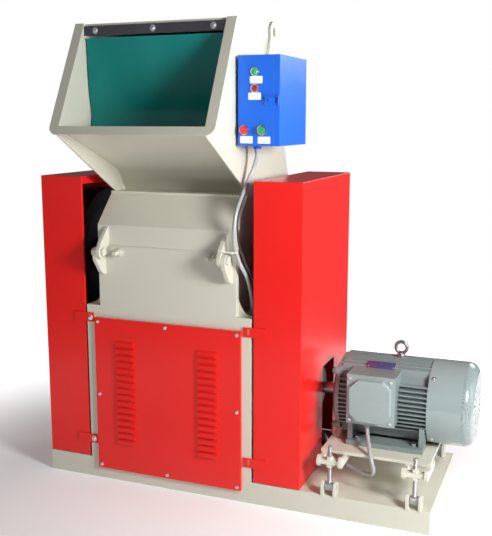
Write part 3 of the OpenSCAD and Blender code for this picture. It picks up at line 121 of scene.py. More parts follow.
class Term:
    """A shader socket that Python operators extend with nodes."""

    def __init__(self, graph: Graph, socket: bpy.types.NodeSocket) -> None:
        """Wrap a socket.

        Args:
            graph: Graph that owns the socket.
            socket: Output socket of a node.
        """
        self.graph = graph
        self.socket = socket

    def _join(self, operation: str, first: Term | float, second: Term | float) -> Term:
        """Return the result of one Math node."""
        return self.graph.out("ShaderNodeMath", {"operation": operation}, {0: first, 1: second})

    def __add__(self, other: Term | float) -> Term:
        """Add a socket or number."""
        return self._join("ADD", self, other)

    def __radd__(self, other: float) -> Term:
        """Add to a number."""
        return self._join("ADD", other, self)

    def __sub__(self, other: Term | float) -> Term:
        """Subtract a socket or number."""
        return self._join("SUBTRACT", self, other)

    def __rsub__(self, other: float) -> Term:
        """Subtract from a number."""
        return self._join("SUBTRACT", other, self)

    def __mul__(self, other: Term | float) -> Term:
        """Multiply by a socket or number."""
        return self._join("MULTIPLY", self, other)

    def __rmul__(self, other: float) -> Term:
        """Multiply a number."""
        return self._join("MULTIPLY", other, self)

    def above(self, edge: float, softness: float) -> Term:
        """Return a mask that rises from 0 to 1 round an edge value.

        Args:
            edge: Value at the middle of the rise.
            softness: Width of the rise.

        Returns:
            The mask.
        """
        settings = {"interpolation_type": "SMOOTHSTEP"}
        low, high = edge - softness / 2, edge + softness / 2
        return self.graph.out("ShaderNodeMapRange", settings, {0: self, 1: low, 2: high})


class Graph:
    """Node tree of one material or of the room."""

    def __init__(self, owner: bpy.types.Material | bpy.types.World,
                 coordinates: str = "Object") -> None:
        """Clear the owner's tree and take its coordinates.

        Args:
            owner: Material or room to build.
            coordinates: Kind of coordinates that patterns follow.
        """
        owner.use_nodes = True
        self.tree = owner.node_tree
        self.tree.nodes.clear()
        self.place = self.out("ShaderNodeTexCoord", {}, {}, coordinates)

    def node(
        self,
        kind: str,
        settings: Mapping[str, object],
        inputs: Mapping[str | int, Term | float | tuple],
    ) -> bpy.types.Node:
        """Add a node.

        Args:
            kind: Node type.
            settings: Properties of the node. stops holds a ramp's positions and colours.
            inputs: Values or links of its sockets.

        Returns:
            The node.
        """
        node = self.tree.nodes.new(kind)
        for name, value in settings.items():
            if name == "stops":
                self._ramp(node, value)
            else:
                setattr(node, name, value)
        for name, value in inputs.items():
            if isinstance(value, Term):
                self.tree.links.new(value.socket, node.inputs[name])
            else:
                node.inputs[name].default_value = value
        return node

    @staticmethod
    def _ramp(node: bpy.types.Node, stops: Sequence[tuple[float, Colour]]) -> None:
        """Set a colour ramp's stops.

        Args:
            node: Colour ramp.
            stops: Position and colour of each stop.
        """
        elements = node.color_ramp.elements
        while len(elements) < len(stops):
            elements.new(1.0)
        for element, (position, colour) in zip(elements, stops):
            element.position = position
            element.color = (*colour, 1.0)

    def out(
        self,
        kind: str,
        settings: Mapping[str, object],
        inputs: Mapping[str | int, Term | float | tuple],
        output: str | int = 0,
    ) -> Term:
        """Add a node and return one of its outputs.

        Args:
            kind: Node type.
            settings: Properties of the node.
            inputs: Values or links of its sockets.
            output: Name or number of the output.

        Returns:
            The output.
        """
        return Term(self, self.node(kind, settings, inputs).outputs[output])

    def noise(self, scale: float, detail: float = 3.0, stretch: Point = (1, 1, 1)) -> Term:
        """Return a noise value from 0 to 1.

        Args:
            scale: Cells in a metre.
            detail: Octaves of finer noise.
            stretch: Factors on the three axes.

        Returns:
            The noise.
        """
        where = self.place
        if stretch != (1, 1, 1):
            settings = {"operation": "MULTIPLY"}
            where = self.out("ShaderNodeVectorMath", settings, {0: where, 1: stretch})
        values = {"Vector": where, "Scale": scale, "Detail": detail}
        return self.out("ShaderNodeTexNoise", {}, values, "Fac")

    def axis(self, name: str) -> Term:
        """Return one coordinate of the point, in metres."""
        return self.out("ShaderNodeSeparateXYZ", {}, {0: self.place}, name)

    def blend(self, factor: Term | float, low: Term | Colour, high: Term | Colour) -> Term:
        """Return a colour between two colours.

        Args:
            factor: Share of the second colour.
            low: First colour.
            high: Second colour.

        Returns:
            The mixed colour.
        """
        pair = [c if isinstance(c, Term) else (*c, 1.0) for c in (low, high)]
        settings = {"data_type": "RGBA"}
        return self.out("ShaderNodeMix", settings, {0: factor, 6: pair[0], 7: pair[1]}, 2)

    def bump(self, height: Term, depth: float) -> Term:
        """Return a normal from a height.

        Args:
            height: Height from 0 to 1.
            depth: Metres that a height of 1 stands proud.

        Returns:
            The normal.
        """
        return self.out("ShaderNodeBump", {}, {"Height": height, "Distance": depth}, "Normal")

    def surface(self, inputs: Mapping[str, Term | float | tuple]) -> None:
        """Add the surface shader and the output.

        Args:
            inputs: Values or links of the surface shader's sockets.
        """
        shader = self.out("ShaderNodeBsdfPrincipled", {}, inputs)
        self.node("ShaderNodeOutputMaterial", {}, {"Surface": shader})


def shade(colour: Colour, factor: float) -> Colour:
    """Return a colour made lighter or darker."""
    return tuple(min(1.0, c * factor) for c in colour)


@dataclass(frozen=True)
class Recipe:
    """Name and main colour of a finish."""

    name: str
    colour: Colour

    def make(self) -> bpy.types.Material:
        """Make the finish.

        Returns:
            The material.
        """
        material = bpy.data.materials.new(self.name)
        self.mix(Graph(material))
        return material

    def mix(self, graph: Graph) -> None:
        """Add the finish's nodes."""
        raise NotImplementedError

    def shades(self, graph: Graph, factor: Term, low: float, high: float) -> Term:
        """Return the main colour between a darker and a lighter shade.

        Args:
            graph: Graph to add to.
            factor: Share of the lighter shade.
            low: Factor of the darker shade.
            high: Factor of the lighter shade.

        Returns:
            The mixed colour.
        """
        return graph.blend(factor, shade(self.colour, low), shade(self.colour, high))


@dataclass(frozen=True)
class Paint(Recipe):
    """Sprayed enamel with a faint orange peel, cloudy tone, scuffs and floor dust."""

    roughness: float = 0.32
    cloud: float = 0.05
    peel: float = 0.00012
    peel_scale: float = 260.0
    scuff: Colour = (0.75, 0.70, 0.66)
    scuff_amount: float = 0.35
    scuff_level: float = 0.76
    dust: Colour = (0.55, 0.52, 0.46)
    dust_amount: float = 0.10
    dust_top: float = 0.30
    coat: float = 0.10
    sheen: float = 0.4

    def mix(self, graph: Graph) -> None:
        """Add the finish's nodes.

        Args:
            graph: Graph to add to.
        """
        tone = graph.noise(2.6, 4.0)
        colour = self.shades(graph, tone, 1 - self.cloud, 1 + self.cloud)
        streaks = graph.noise(30.0, 5.0, (1.0, 1.0, 0.22))
        marks = streaks.above(self.scuff_level, 0.08) * graph.noise(7.0, 2.0).above(0.56, 0.10)
        colour = graph.blend(marks * self.scuff_amount, colour, self.scuff)
        low = 1.0 - graph.axis("Z").above(self.dust_top / 2, self.dust_top)
        dust = low * graph.noise(9.0, 5.0) * (2 * self.dust_amount)
        colour = graph.blend(dust, colour, self.dust)
        fine = graph.noise(self.peel_scale, 2.0)
        rough = self.roughness + (tone - 0.5) * 0.10 + marks * 0.22 + dust * 0.5
        graph.surface({
            "Base Color": colour,
            "Roughness": rough,
            "Normal": graph.bump(fine, self.peel),
            "Specular IOR Level": self.sheen,
            "Coat Weight": self.coat,
            "Coat Roughness": 0.12,
        })


@dataclass(frozen=True)
class CastPaint(Recipe):
    """Enamel over rough castings, with painted shade where the grain sinks."""

    roughness: float = 0.30
    grain: float = 0.0005
    grain_scale: float = 120.0
    coat: float = 0.3

    def mix(self, graph: Graph) -> None:
        """Add the finish's nodes.

        Args:
            graph: Graph to add to.
        """
        grain = graph.noise(self.grain_scale, 4.0)
        cloud = graph.noise(5.0, 3.0)
        colour = self.shades(graph, cloud, 0.90, 1.10)
        # Painted shade: the colour darkens where the grain's bump sinks.
        colour = graph.blend(0.18 - grain * 0.18, colour, shade(self.colour, 0.45))
        chips = graph.noise(60.0, 6.0).above(0.72, 0.04)
        colour = graph.blend(chips * 0.4, colour, (0.30, 0.31, 0.30))
        graph.surface({
            "Base Color": colour,
            "Roughness": self.roughness + (cloud - 0.5) * 0.12 + chips * 0.2,
            "Normal": graph.bump(grain, self.grain),
            "Coat Weight": self.coat,
            "Coat Roughness": 0.15,
        })


@dataclass(frozen=True)
class CowlPaint(Recipe):
    """Enamel on the pressed fan cowl, with rings of small vent holes round its rim: dots of painted
    shade.
    """

    rim_start: float = 0.9065
    rim_end: float = 0.9330
    hole_scale: float = 250.0

    def mix(self, graph: Graph) -> None:
        """Add the finish's nodes.

        Args:
            graph: Graph to add to.
        """
        cloud = graph.noise(4.0, 3.0)
        colour = self.shades(graph, cloud, 0.93, 1.07)
        x = graph.axis("X")
        band = x.above(self.rim_start, 0.001) * (1.0 - x.above(self.rim_end, 0.001))
        settings = {"feature": "F1"}
        values = {"Vector": graph.place, "Scale": self.hole_scale, "Randomness": 0.15}
        cells = graph.out("ShaderNodeTexVoronoi", settings, values, "Distance")
        holes = (1.0 - cells.above(0.36, 0.12)) * band
        specks = graph.noise(70.0, 2.0).above(0.80, 0.03)
        # Painted shade: the vent holes are not cut; they are dark dots where their shaded insides
        # would show.
        colour = graph.blend(holes * 0.75, colour, (0.05, 0.06, 0.06))
        colour = graph.blend(specks * 0.5, colour, (0.45, 0.20, 0.12))
        height = graph.noise(190.0, 2.0) * 0.15 - holes
        graph.surface({
            "Base Color": colour,
            "Roughness": 0.24 + (cloud - 0.5) * 0.10 + holes * 0.3,
            "Normal": graph.bump(height, 0.0006),
            "Coat Weight": 0.35,
            "Coat Roughness": 0.10,
        })


@dataclass(frozen=True)
class Metal(Recipe):
    """Bare or plated metal with brushed or turned grain and a few dull spots."""

    roughness: float = 0.28
    grain: float = 0.00008
    stretch: Point = (1.0, 1.0, 1.0)
    grain_scale: float = 400.0
    stain: Colour = (0.30, 0.28, 0.25)
    stain_amount: float = 0.35

    def mix(self, graph: Graph) -> None:
        """Add the finish's nodes.

        Args:
            graph: Graph to add to.
        """
        cloud = graph.noise(22.0, 4.0)
        grain = graph.noise(self.grain_scale, 3.0, self.stretch)
        colour = self.shades(graph, grain, 0.86, 1.10)
        colour = graph.blend(cloud.above(0.62, 0.20) * self.stain_amount, colour, self.stain)
        graph.surface({
            "Base Color": colour,
            "Metallic": 1.0 - cloud.above(0.72, 0.10) * 0.4,
            "Roughness": self.roughness + (grain - 0.5) * 0.12 + (cloud - 0.5) * 0.18,
            "Normal": graph.bump(grain, self.grain),
        })


@dataclass(frozen=True)
class Threaded(Recipe):
    """Plated rod with thread ridges along Z and painted shade in the grooves between them."""

    pitch: float = 0.00175

    def mix(self, graph: Graph) -> None:
        """Add the finish's nodes.

        Args:
            graph: Graph to add to.
        """
        settings = {"wave_type": "BANDS", "bands_direction": "Z", "wave_profile": "TRI"}
        scale = 2 * math.pi / (20.0 * self.pitch)
        values = {"Vector": graph.place, "Scale": scale}
        ridges = graph.out("ShaderNodeTexWave", settings, values, "Fac")
        cloud = graph.noise(35.0, 4.0)
        # Painted shade: the grooves between the thread ridges are darkened.
        colour = graph.blend(ridges, shade(self.colour, 0.45), self.colour)
        colour = graph.blend(cloud.above(0.60, 0.2) * 0.4, colour, (0.62, 0.60, 0.54))
        graph.surface({
            "Base Color": colour,
            "Metallic": 0.85,
            "Roughness": 0.34 + (cloud - 0.5) * 0.2,
            "Normal": graph.bump(ridges, 0.0006),
        })


@dataclass(frozen=True)
class Rubber(Recipe):
    """Glossy or matt rubber with fine grain and dusty patches."""

    roughness: float = 0.35
    grain: float = 0.00010
    grain_scale: float = 300.0
    dust: Colour = (0.30, 0.42, 0.38)
    dust_amount: float = 0.10
    coat: float = 0.0
    sheen: float = 0.5

    def mix(self, graph: Graph) -> None:
        """Add the finish's nodes.

        Args:
            graph: Graph to add to.
        """
        grain = graph.noise(self.grain_scale, 3.0)
        cloud = graph.noise(6.0, 5.0, (1.0, 1.0, 0.5))
        colour = self.shades(graph, cloud, 0.85, 1.15)
        colour = graph.blend(cloud.above(0.58, 0.3) * self.dust_amount, colour, self.dust)
        graph.surface({
            "Base Color": colour,
            "Roughness": self.roughness + (cloud - 0.5) * 0.14 + (grain - 0.5) * 0.06,
            "Normal": graph.bump(grain, self.grain),
            "Specular IOR Level": self.sheen,
            "Coat Weight": self.coat,
            "Coat Roughness": 0.18,
        })


@dataclass(frozen=True)
class Moulded(Recipe):
    """Moulded plastic with a fine sparkle, handling marks and a painted glow in its own colour."""

    roughness: float = 0.22
    glow: float = 0.0

    def mix(self, graph: Graph) -> None:
        """Add the finish's nodes.

        Args:
            graph: Graph to add to.
        """
        cloud = graph.noise(90.0, 3.0)
        colour = self.shades(graph, cloud, 0.88, 1.12)
        graph.surface({
            "Base Color": colour,
            "Roughness": self.roughness + (cloud - 0.5) * 0.15,
            "Normal": graph.bump(graph.noise(700.0, 2.0), 0.00004),
            "Coat Weight": 0.5,
            "Coat Roughness": 0.08,
            # Painted glow in the part's own colour; none of these parts is a lit lamp.
            "Emission Color": (*self.colour, 1.0),
            "Emission Strength": self.glow,
        })


@dataclass(frozen=True)
class Backdrop(Recipe):
    """Pale studio floor that brightens to plain white at its rim, as a lit backdrop does."""

    middle: tuple[float, float] = (0.1, -0.1)
    rise: tuple[float, float] = (1.15, 0.9)
    glow: float = 0.22

    def mix(self, graph: Graph) -> None:
        """Add the finish's nodes.

        Args:
            graph: Graph to add to.
        """
        cloud = graph.noise(1.5, 3.0)
        colour = graph.blend(cloud, shade(self.colour, 0.985), self.colour)
        settings = {"operation": "DISTANCE"}
        middle = {0: graph.place, 1: (*self.middle, 0.0)}
        away = graph.out("ShaderNodeVectorMath", settings, middle, "Value").above(*self.rise)
        graph.surface({
            "Base Color": colour,
            "Roughness": 0.8,
            "Emission Color": graph.blend(away, (self.glow,) * 3, WHITE),
            "Emission Strength": 1.0,
        })


class Finish(Enum):
    """Finishes of the machine, each with its recipe."""

    CREAM = Paint("cream_enamel", (0.615, 0.605, 0.510), roughness=0.36, cloud=0.035)
    RED = Paint("red_enamel", (0.80, 0.013, 0.010), roughness=0.30, cloud=0.05, coat=0.06,
                scuff=(0.62, 0.20, 0.18), scuff_amount=0.16, dust_amount=0.02, sheen=0.28)
    BLUE = Paint("blue_powder_coat", (0.012, 0.135, 0.72), roughness=0.32, cloud=0.04,
                 peel=0.0003, peel_scale=420.0, coat=0.08, dust_amount=0.0, sheen=0.3)
    MOTOR = CastPaint("motor_enamel", (0.225, 0.275, 0.270))
    COWL = CowlPaint("cowl_enamel", (0.265, 0.325, 0.318))
    LID = CastPaint("lid_enamel", (0.300, 0.360, 0.352), grain=0.0002)
    STEEL = Metal("bright_plated_steel", (0.72, 0.73, 0.75))
    TURNED = Metal("turned_steel", (0.56, 0.56, 0.57), roughness=0.32, stretch=(6.0, 1.0, 1.0))
    THREAD = Threaded("threaded_rod", (0.70, 0.70, 0.70))
    FORGED = Metal("forged_steel", (0.34, 0.34, 0.35), roughness=0.38)
    PRESSED = Metal("galvanised_sheet", (0.55, 0.57, 0.59), roughness=0.42, grain_scale=90.0)
    IRON = Metal("blackened_iron", (0.060, 0.058, 0.062), roughness=0.46, stain=(0.10, 0.055, 0.03))
    STRIP = Rubber("black_strip", (0.022, 0.018, 0.030), roughness=0.24, coat=0.4, dust_amount=0.04)
    CURTAIN = Rubber("teal_curtain", (0.003, 0.225, 0.205), roughness=0.24, dust_amount=0.03,
                     sheen=0.2)
    BELT = Rubber("belt_rubber", (0.018, 0.018, 0.018), roughness=0.62, dust=(0.12, 0.12, 0.12))
    SHEATH = Rubber("grey_sheath", (0.36, 0.37, 0.38), roughness=0.26, coat=0.35,
                    dust=(0.55, 0.55, 0.53))
    BLACK_SHEATH = Rubber("black_sheath", (0.02, 0.02, 0.022), roughness=0.3, coat=0.3,
                          dust=(0.1, 0.1, 0.1))
    TIE = Moulded("white_nylon", (0.85, 0.85, 0.82), roughness=0.3)
    LABEL = Moulded("white_label", (0.86, 0.86, 0.88), roughness=0.35)
    PLATE = Moulded("blue_nameplate", (0.075, 0.065, 0.17), roughness=0.25)
    # The caps and lenses carry a painted glow.
    GREEN_CAP = Moulded("green_cap", (0.03, 0.34, 0.09), roughness=0.3, glow=0.05)
    RED_CAP = Moulded("red_cap", (0.85, 0.025, 0.03), roughness=0.3, glow=0.08)
    GREEN_LENS = Moulded("green_lens", (0.01, 0.42, 0.10), roughness=0.08, glow=0.12)
    RED_LENS = Moulded("red_lens", (0.36, 0.008, 0.014), roughness=0.08, glow=0.10)
    FLOOR = Backdrop("pale_floor", (0.80, 0.80, 0.80))


class Finishes:
    """Materials made once for each finish."""

    def __init__(self) -> None:
        """Start with none made."""
        self.made: dict[Finish, bpy.types.Material] = {}

    def get(self, finish: Finish) -> bpy.types.Material:
        """Return the finish's material, making it at the first use.

        Args:
            finish: Finish to look up.

        Returns:
            The material.
        """
        if finish not in self.made:
            self.made[finish] = finish.value.make()
        return self.made[finish]


# Mesh building


def facing(origin: Point | Vector, axis: Point | Vector) -> Matrix:
    """Return a placement whose local Z runs along an axis.

    Args:
        origin: Place of the local origin.
        axis: Direction of local Z.

    Returns:
        The placement.
    """
    turn = Vector(axis).to_track_quat("Z", "Y").to_matrix().to_4x4()
    return Matrix.Translation(Vector(origin)) @ turn


def smooth_path(points: Path, parts: int) -> list[Vector]:
    """Return points along a smooth curve through the given ones.

    Args:
        points: Points to pass through.
        parts: Steps between two of them.

    Returns:
        The curve's points, first and last included.
    """
    p = [Vector(q) for q in points]
    p = [2 * p[0] - p[1], *p, 2 * p[-1] - p[-2]]
    curve = []
    for i in range(1, len(p) - 2):
        for k in range(parts):
            t = k / parts
            a, b, c, d = p[i - 1], p[i], p[i + 1], p[i + 2]
            curve.append(0.5 * (2 * b + (c - a) * t + (2 * a - 5 * b + 4 * c - d) * t * t
                                + (3 * b - a - 3 * c + d) * t ** 3))
    return [*curve, p[-2]]


def length_of(points: Sequence[Vector]) -> float:
    """Return the length of a line through points."""
    return sum((b - a).length for a, b in zip(points, points[1:]))


class Solid:
    """A closed mesh made of turned, swept and bevelled forms."""

    def __init__(self) -> None:
        """Start empty."""
        self.bm = bmesh.new()

    def box(self, low: Point, high: Point, bevel: float = 0.0,
            place: Matrix | None = None) -> Solid:
        """Add a block with rounded edges.

        Args:
            low: Lowest corner.
            high: Highest corner.
            bevel: Radius of its edges.
            place: Placement of the block, when it is turned.

        Returns:
            This solid.
        """
        low, high = Vector(low), Vector(high)
        made = bmesh.ops.create_cube(self.bm, size=1.0)["verts"]
        size = Matrix.Diagonal((*(high - low), 1.0))
        bmesh.ops.transform(self.bm, matrix=Matrix.Translation((low + high) / 2) @ size, verts=made)
        if bevel:
            edges = dict.fromkeys(e for v in made for e in v.link_edges)
            made = self._bevel(list(edges), bevel, 3, made)
        if place is not None:
            bmesh.ops.transform(self.bm, matrix=place, verts=made)
        return self

    def turned(self, profile: Outline, place: Matrix, steps: int = 40) -> Solid:
        """Add a form turned about local Z.

        Args:
            profile: Radius and height of its outline, from one end to the other. It closes on
                itself where neither end is on the axis.
            place: Placement of the form.
            steps: Faces round it.

        Returns:
            This solid.
        """
        rings = []
        for radius, height in profile:
            if radius < 1e-9:
                rings.append([self.bm.verts.new(place @ Vector((0, 0, height)))])
                continue
            turns = [2 * math.pi * k / steps for k in range(steps)]
            rim = [Vector((radius * math.cos(a), radius * math.sin(a), height)) for a in turns]
            rings.append([self.bm.verts.new(place @ point) for point in rim])
        pairs = list(zip(rings, rings[1:]))
        if len(rings[0]) > 1 and len(rings[-1]) > 1:
            pairs.append((rings[-1], rings[0]))
        for low, high in pairs:
            for k in range(steps):
                n = (k + 1) % steps
                face = [low[k % len(low)], low[n % len(low)]]
                face += [high[n % len(high)], high[k % len(high)]]
                corners = list(dict.fromkeys(face))
                if len(corners) > 2:
                    self.bm.faces.new(corners)
        return self

    def swept(self, path: Sequence[Vector], radius: float | Callable[[float], float],
              sides: int = 14) -> Solid:
        """Add a round bar along a path.

        Args:
            path: Points of the middle line.
            radius: Radius, or a function that gives it from the share of the way along.
            sides: Faces round it.

        Returns:
            This solid.
        """
        path = [Vector(p) for p in path]
        last = len(path) - 1
        side = (path[1] - path[0]).orthogonal().normalized()
        rings = []
        for i, point in enumerate(path):
            ahead = (path[min(i + 1, last)] - path[max(i - 1, 0)]).normalized()
            side = (side - ahead * side.dot(ahead)).normalized()
            up = ahead.cross(side)
            size = radius(i / last) if callable(radius) else radius
            turns = [2 * math.pi * k / sides for k in range(sides)]
            rings.append([self.bm.verts.new(point + size * (math.cos(a) * side + math.sin(a) * up))
                          for a in turns])
        for low, high in zip(rings, rings[1:]):
            for k in range(sides):
                n = (k + 1) % sides
                self.bm.faces.new([low[k], low[n], high[n], high[k]])
        self.bm.faces.new(list(reversed(rings[0])))
        self.bm.faces.new(rings[-1])
        return self

    def prism(self, outline: Outline, depth: float, place: Matrix, bevel: float = 0.0) -> Solid:
        """Add a flat form with an outline.

        Args:
            outline: Its corners in local X and Y.
            depth: Thickness along local Z.
            place: Placement of the form.
            bevel: Radius of its long edges.

        Returns:
            This solid.
        """
        low = [self.bm.verts.new(Vector((x, y, 0))) for x, y in outline]
        high = [self.bm.verts.new(Vector((x, y, depth))) for x, y in outline]
        faces = [self.bm.faces.new(list(reversed(low))), self.bm.faces.new(high)]
        for k in range(len(low)):
            n = (k + 1) % len(low)
            faces.append(self.bm.faces.new([low[k], low[n], high[n], high[k]]))
        made = low + high
        if bevel:
            edges = dict.fromkeys(e for f in faces[:2] for e in f.edges)
            made = self._bevel(list(edges), bevel, 2, made)
        bmesh.ops.transform(self.bm, matrix=place, verts=made)
        return self

    def _bevel(self, edges: list[bmesh.types.BMEdge], radius: float, steps: int,
               made: list[bmesh.types.BMVert]) -> list[bmesh.types.BMVert]:
        """Round edges of the form that was made last.

        Args:
            edges: Edges to round.
            radius: Radius of the rounding.
            steps: Faces across it.
            made: Corners of the form.

        Returns:
            The form's corners after it.
        """
        done = bmesh.ops.bevel(self.bm, geom=edges, offset=radius, segments=steps, profile=0.5,
                               affect="EDGES")
        corners = [v for f in done["faces"] for v in f.verts] + [v for v in made if v.is_valid]
        return list(dict.fromkeys(corners))

    def screw(self, place: Matrix, washer: tuple[float, ...], head: tuple[float, float],
              steps: int = 40) -> Solid:
        """Add a round-headed screw on its washer.

        Args:
            place: Placement of the washer's underside.
            washer: Inner radius, outer radius, height and rounding of the washer.
            head: Radius and height of the head.
            steps: Faces round it.

        Returns:
            This solid.
        """
        self.turned(ring_profile(*washer), place, steps)
        return self.turned(dome_head(*head), place, steps)

    def piece(self, name: str, material: bpy.types.Material) -> bpy.types.Object:
        """Close the mesh and return it as an object.

        Args:
            name: Name of the piece.
            material: Its material.

        Returns:
            The object.
        """
        bmesh.ops.recalc_face_normals(self.bm, faces=self.bm.faces)
        for face in self.bm.faces:
            face.smooth = True
        for edge in self.bm.edges:
            edge.smooth = len(edge.link_faces) == 2 and edge.calc_face_angle(0.0) < SMOOTH_UNDER
        mesh = bpy.data.meshes.new(name)
        self.bm.to_mesh(mesh)
        self.bm.free()
        mesh.materials.append(material)
        piece = bpy.data.objects.new(name, mesh)
        bpy.context.scene.collection.objects.link(piece)
        return piece


def rounded(width: float, height: float, radius: float) -> Outline:
    """Return a rectangle's outline with round corners, centred on the origin.

    Args:
        width: Size along local X.
        height: Size along local Y.
        radius: Radius of the corners.

    Returns:
        The corners' points.
    """
    points = []
    steps = 5
    for quarter, (sx, sy) in enumerate(((1, 1), (-1, 1), (-1, -1), (1, -1))):
        for k in range(steps + 1):
            a = (quarter + k / steps) * math.pi / 2
            points.append((sx * (width / 2 - radius) + radius * math.cos(a),
                           sy * (height / 2 - radius) + radius * math.sin(a)))
    return points


def dome_head(radius: float, height: float) -> Outline:
    """Return the profile of a round screw head with a small driver dimple.

    Args:
        radius: Radius of the head.
        height: Height of its crown.

    Returns:
        The profile, from the middle of its underside to the dimple.
    """
    crown = [(radius * math.cos(a), height * (0.25 + 0.75 * math.sin(a)))
             for a in (math.radians(d) for d in range(0, 80, 13))]
    sunk = -0.001
    dimple = [(radius * 0.18, height * 0.80), (0.0, height * 0.72)]
    return [(0.0, sunk), (radius, sunk), *crown, *dimple]


def ring_profile(inner: float, outer: float, height: float, round_off: float) -> Outline:
    """Return the closed profile of a ring with rounded outer edges.

    Args:
        inner: Inner radius.
        outer: Outer radius.
        height: Height of the ring.
        round_off: Rounding of its edges.

    Returns:
        The profile.
    """
    shoulder, nick = height - round_off, round_off * 0.3
    return [(inner, 0.0), (outer, 0.0), (outer, shoulder), (outer - nick, height - nick),
            (outer - round_off, height), (inner + round_off, height), (inner, shoulder)]


@dataclass
class Assembly:
    """A group of pieces that share the finishes."""

    finishes: Finishes

    def mount(
        self,
        solid: Solid,
        name: str,
        finish: Finish,
        slot: Slot,
        body: Body | tuple[Body, Body],
        replaces: Sequence[str] = (),
        span: tuple[Point, Point] | None = None,
    ) -> bpy.types.Object:
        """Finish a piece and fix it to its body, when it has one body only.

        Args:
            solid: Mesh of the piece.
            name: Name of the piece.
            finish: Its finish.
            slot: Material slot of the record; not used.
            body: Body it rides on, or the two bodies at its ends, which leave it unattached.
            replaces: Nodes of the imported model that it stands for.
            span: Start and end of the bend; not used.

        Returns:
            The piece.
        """
        piece = solid.piece(name, self.finishes.get(finish))
        if isinstance(body, Body):
            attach(piece, body.value)
        else:
            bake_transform(piece)
        if replaces:
            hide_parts(*replaces)
        LOG.info("%s: %d faces", name, len(piece.data.polygons))
        return piece


@dataclass(frozen=True)
class Dress:
    """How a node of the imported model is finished."""

    finish: Finish
    nodes: tuple[str, ...]
    edge: float = 0.0


@dataclass
class Shell(Assembly):
    """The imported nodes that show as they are, with finishes and softened edges."""

    weld_gap: float = 0.00002
    flat_under: float = math.radians(0.4)
    sharp_over: float = math.radians(38)
    bevel_steps: int = 2
    normal_weight: int = 60
    dresses: tuple[Dress, ...] = (
        Dress(Finish.CREAM, ("base_frame", "base_deck", "cabinet_body"), 0.0015),
        Dress(Finish.CREAM, ("lower_chamber", "upper_chamber"), 0.0012),
        Dress(Finish.CREAM, ("lower_hinge_ears", "upper_hinge_ears", "lifting_lug"), 0.0016),
        Dress(Finish.CREAM, ("hopper_shell",), 0.0011),
        Dress(Finish.CREAM, ("adjuster_brackets", "motor_plate", "adjuster_nuts"), 0.0012),
        Dress(Finish.RED, ("guard_left", "guard_right"), 0.0014),
        Dress(Finish.RED, ("guard_straps",), 0.0007),
        Dress(Finish.RED, ("front_panel",), 0.0006),
        Dress(Finish.BLUE, ("control_box", "box_door"), 0.0009),
        Dress(Finish.MOTOR, ("motor_frame", "motor_end_shield", "terminal_box"), 0.0007),
        Dress(Finish.LID, ("terminal_box_lid",), 0.0016),
        Dress(Finish.COWL, ("fan_cowl",), 0.0004),
        Dress(Finish.THREAD, ("adjuster_rods",), 0.0006),
        Dress(Finish.CREAM, ("hinge_bolts", "clamp_studs"), 0.0006),
        Dress(Finish.STEEL, ("motor_bolts", "rotor_knives"), 0.0005),
        Dress(Finish.STEEL, ("bed_knives", "rotor_bearings"), 0.0005),
        Dress(Finish.TURNED, ("motor_shaft", "rotor_shaft"), 0.0008),
        Dress(Finish.PRESSED, ("drawer", "discharge_chute", "screen"), 0.0),
        Dress(Finish.IRON, ("bed_knife_bolts", "screen_cradle", "bearing_housings"), 0.0008),
        Dress(Finish.IRON, ("drawer_runners", "drawer_handle", "motor_fan"), 0.0008),
        Dress(Finish.IRON, ("rotor_hub", "knife_bolts", "flywheel"), 0.0010),
        Dress(Finish.IRON, ("motor_pulley", "rotor_pulley"), 0.0005),
        Dress(Finish.STRIP, ("curtain_bar",), 0.0006),
    )

    def build(self, nodes: Mapping[str, bpy.types.Object]) -> None:
        """Dress every node that shows.

        Args:
            nodes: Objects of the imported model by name.
        """
        for dress in self.dresses:
            for name in dress.nodes:
                self.dress(nodes[name], dress)
        self.stretch_belts(nodes["drive_belts"])

    def stretch_belts(self, node: bpy.types.Object) -> None:
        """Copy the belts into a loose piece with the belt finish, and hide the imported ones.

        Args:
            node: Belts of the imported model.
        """
        mesh = node.data.copy()
        mesh.materials.clear()
        mesh.materials.append(self.finishes.get(Finish.BELT))
        belts = bpy.data.objects.new("belt_loops", mesh)
        bpy.context.scene.collection.objects.link(belts)
        belts.matrix_world = node.matrix_world.copy()
        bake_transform(belts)
        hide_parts("drive_belts")

    def dress(self, node: bpy.types.Object, dress: Dress) -> None:
        """Give a node its finish and soft edges.

        Args:
            node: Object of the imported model.
            dress: Finish and edge radius.
        """
        mesh = node.data
        mesh.materials.clear()
        mesh.materials.append(self.finishes.get(dress.finish))
        if dress.edge:
            for name in ("custom_normal", "sharp_edge", "sharp_face"):
                if name in mesh.attributes:
                    mesh.attributes.remove(mesh.attributes[name])
            weld = node.modifiers.new("weld", "WELD")
            weld.merge_threshold = self.weld_gap
            flat = node.modifiers.new("flat_faces", "DECIMATE")
            flat.decimate_type = "DISSOLVE"
            flat.angle_limit = self.flat_under
            bevel = node.modifiers.new("soft_edges", "BEVEL")
            bevel.width = dress.edge
            bevel.segments = self.bevel_steps
            bevel.limit_method = "ANGLE"
            bevel.angle_limit = self.sharp_over
            smooth = node.modifiers.new("flat_shading", "WEIGHTED_NORMAL")
            smooth.weight = self.normal_weight
        LOG.info("%s: %s", node.name, dress.finish.name.lower())


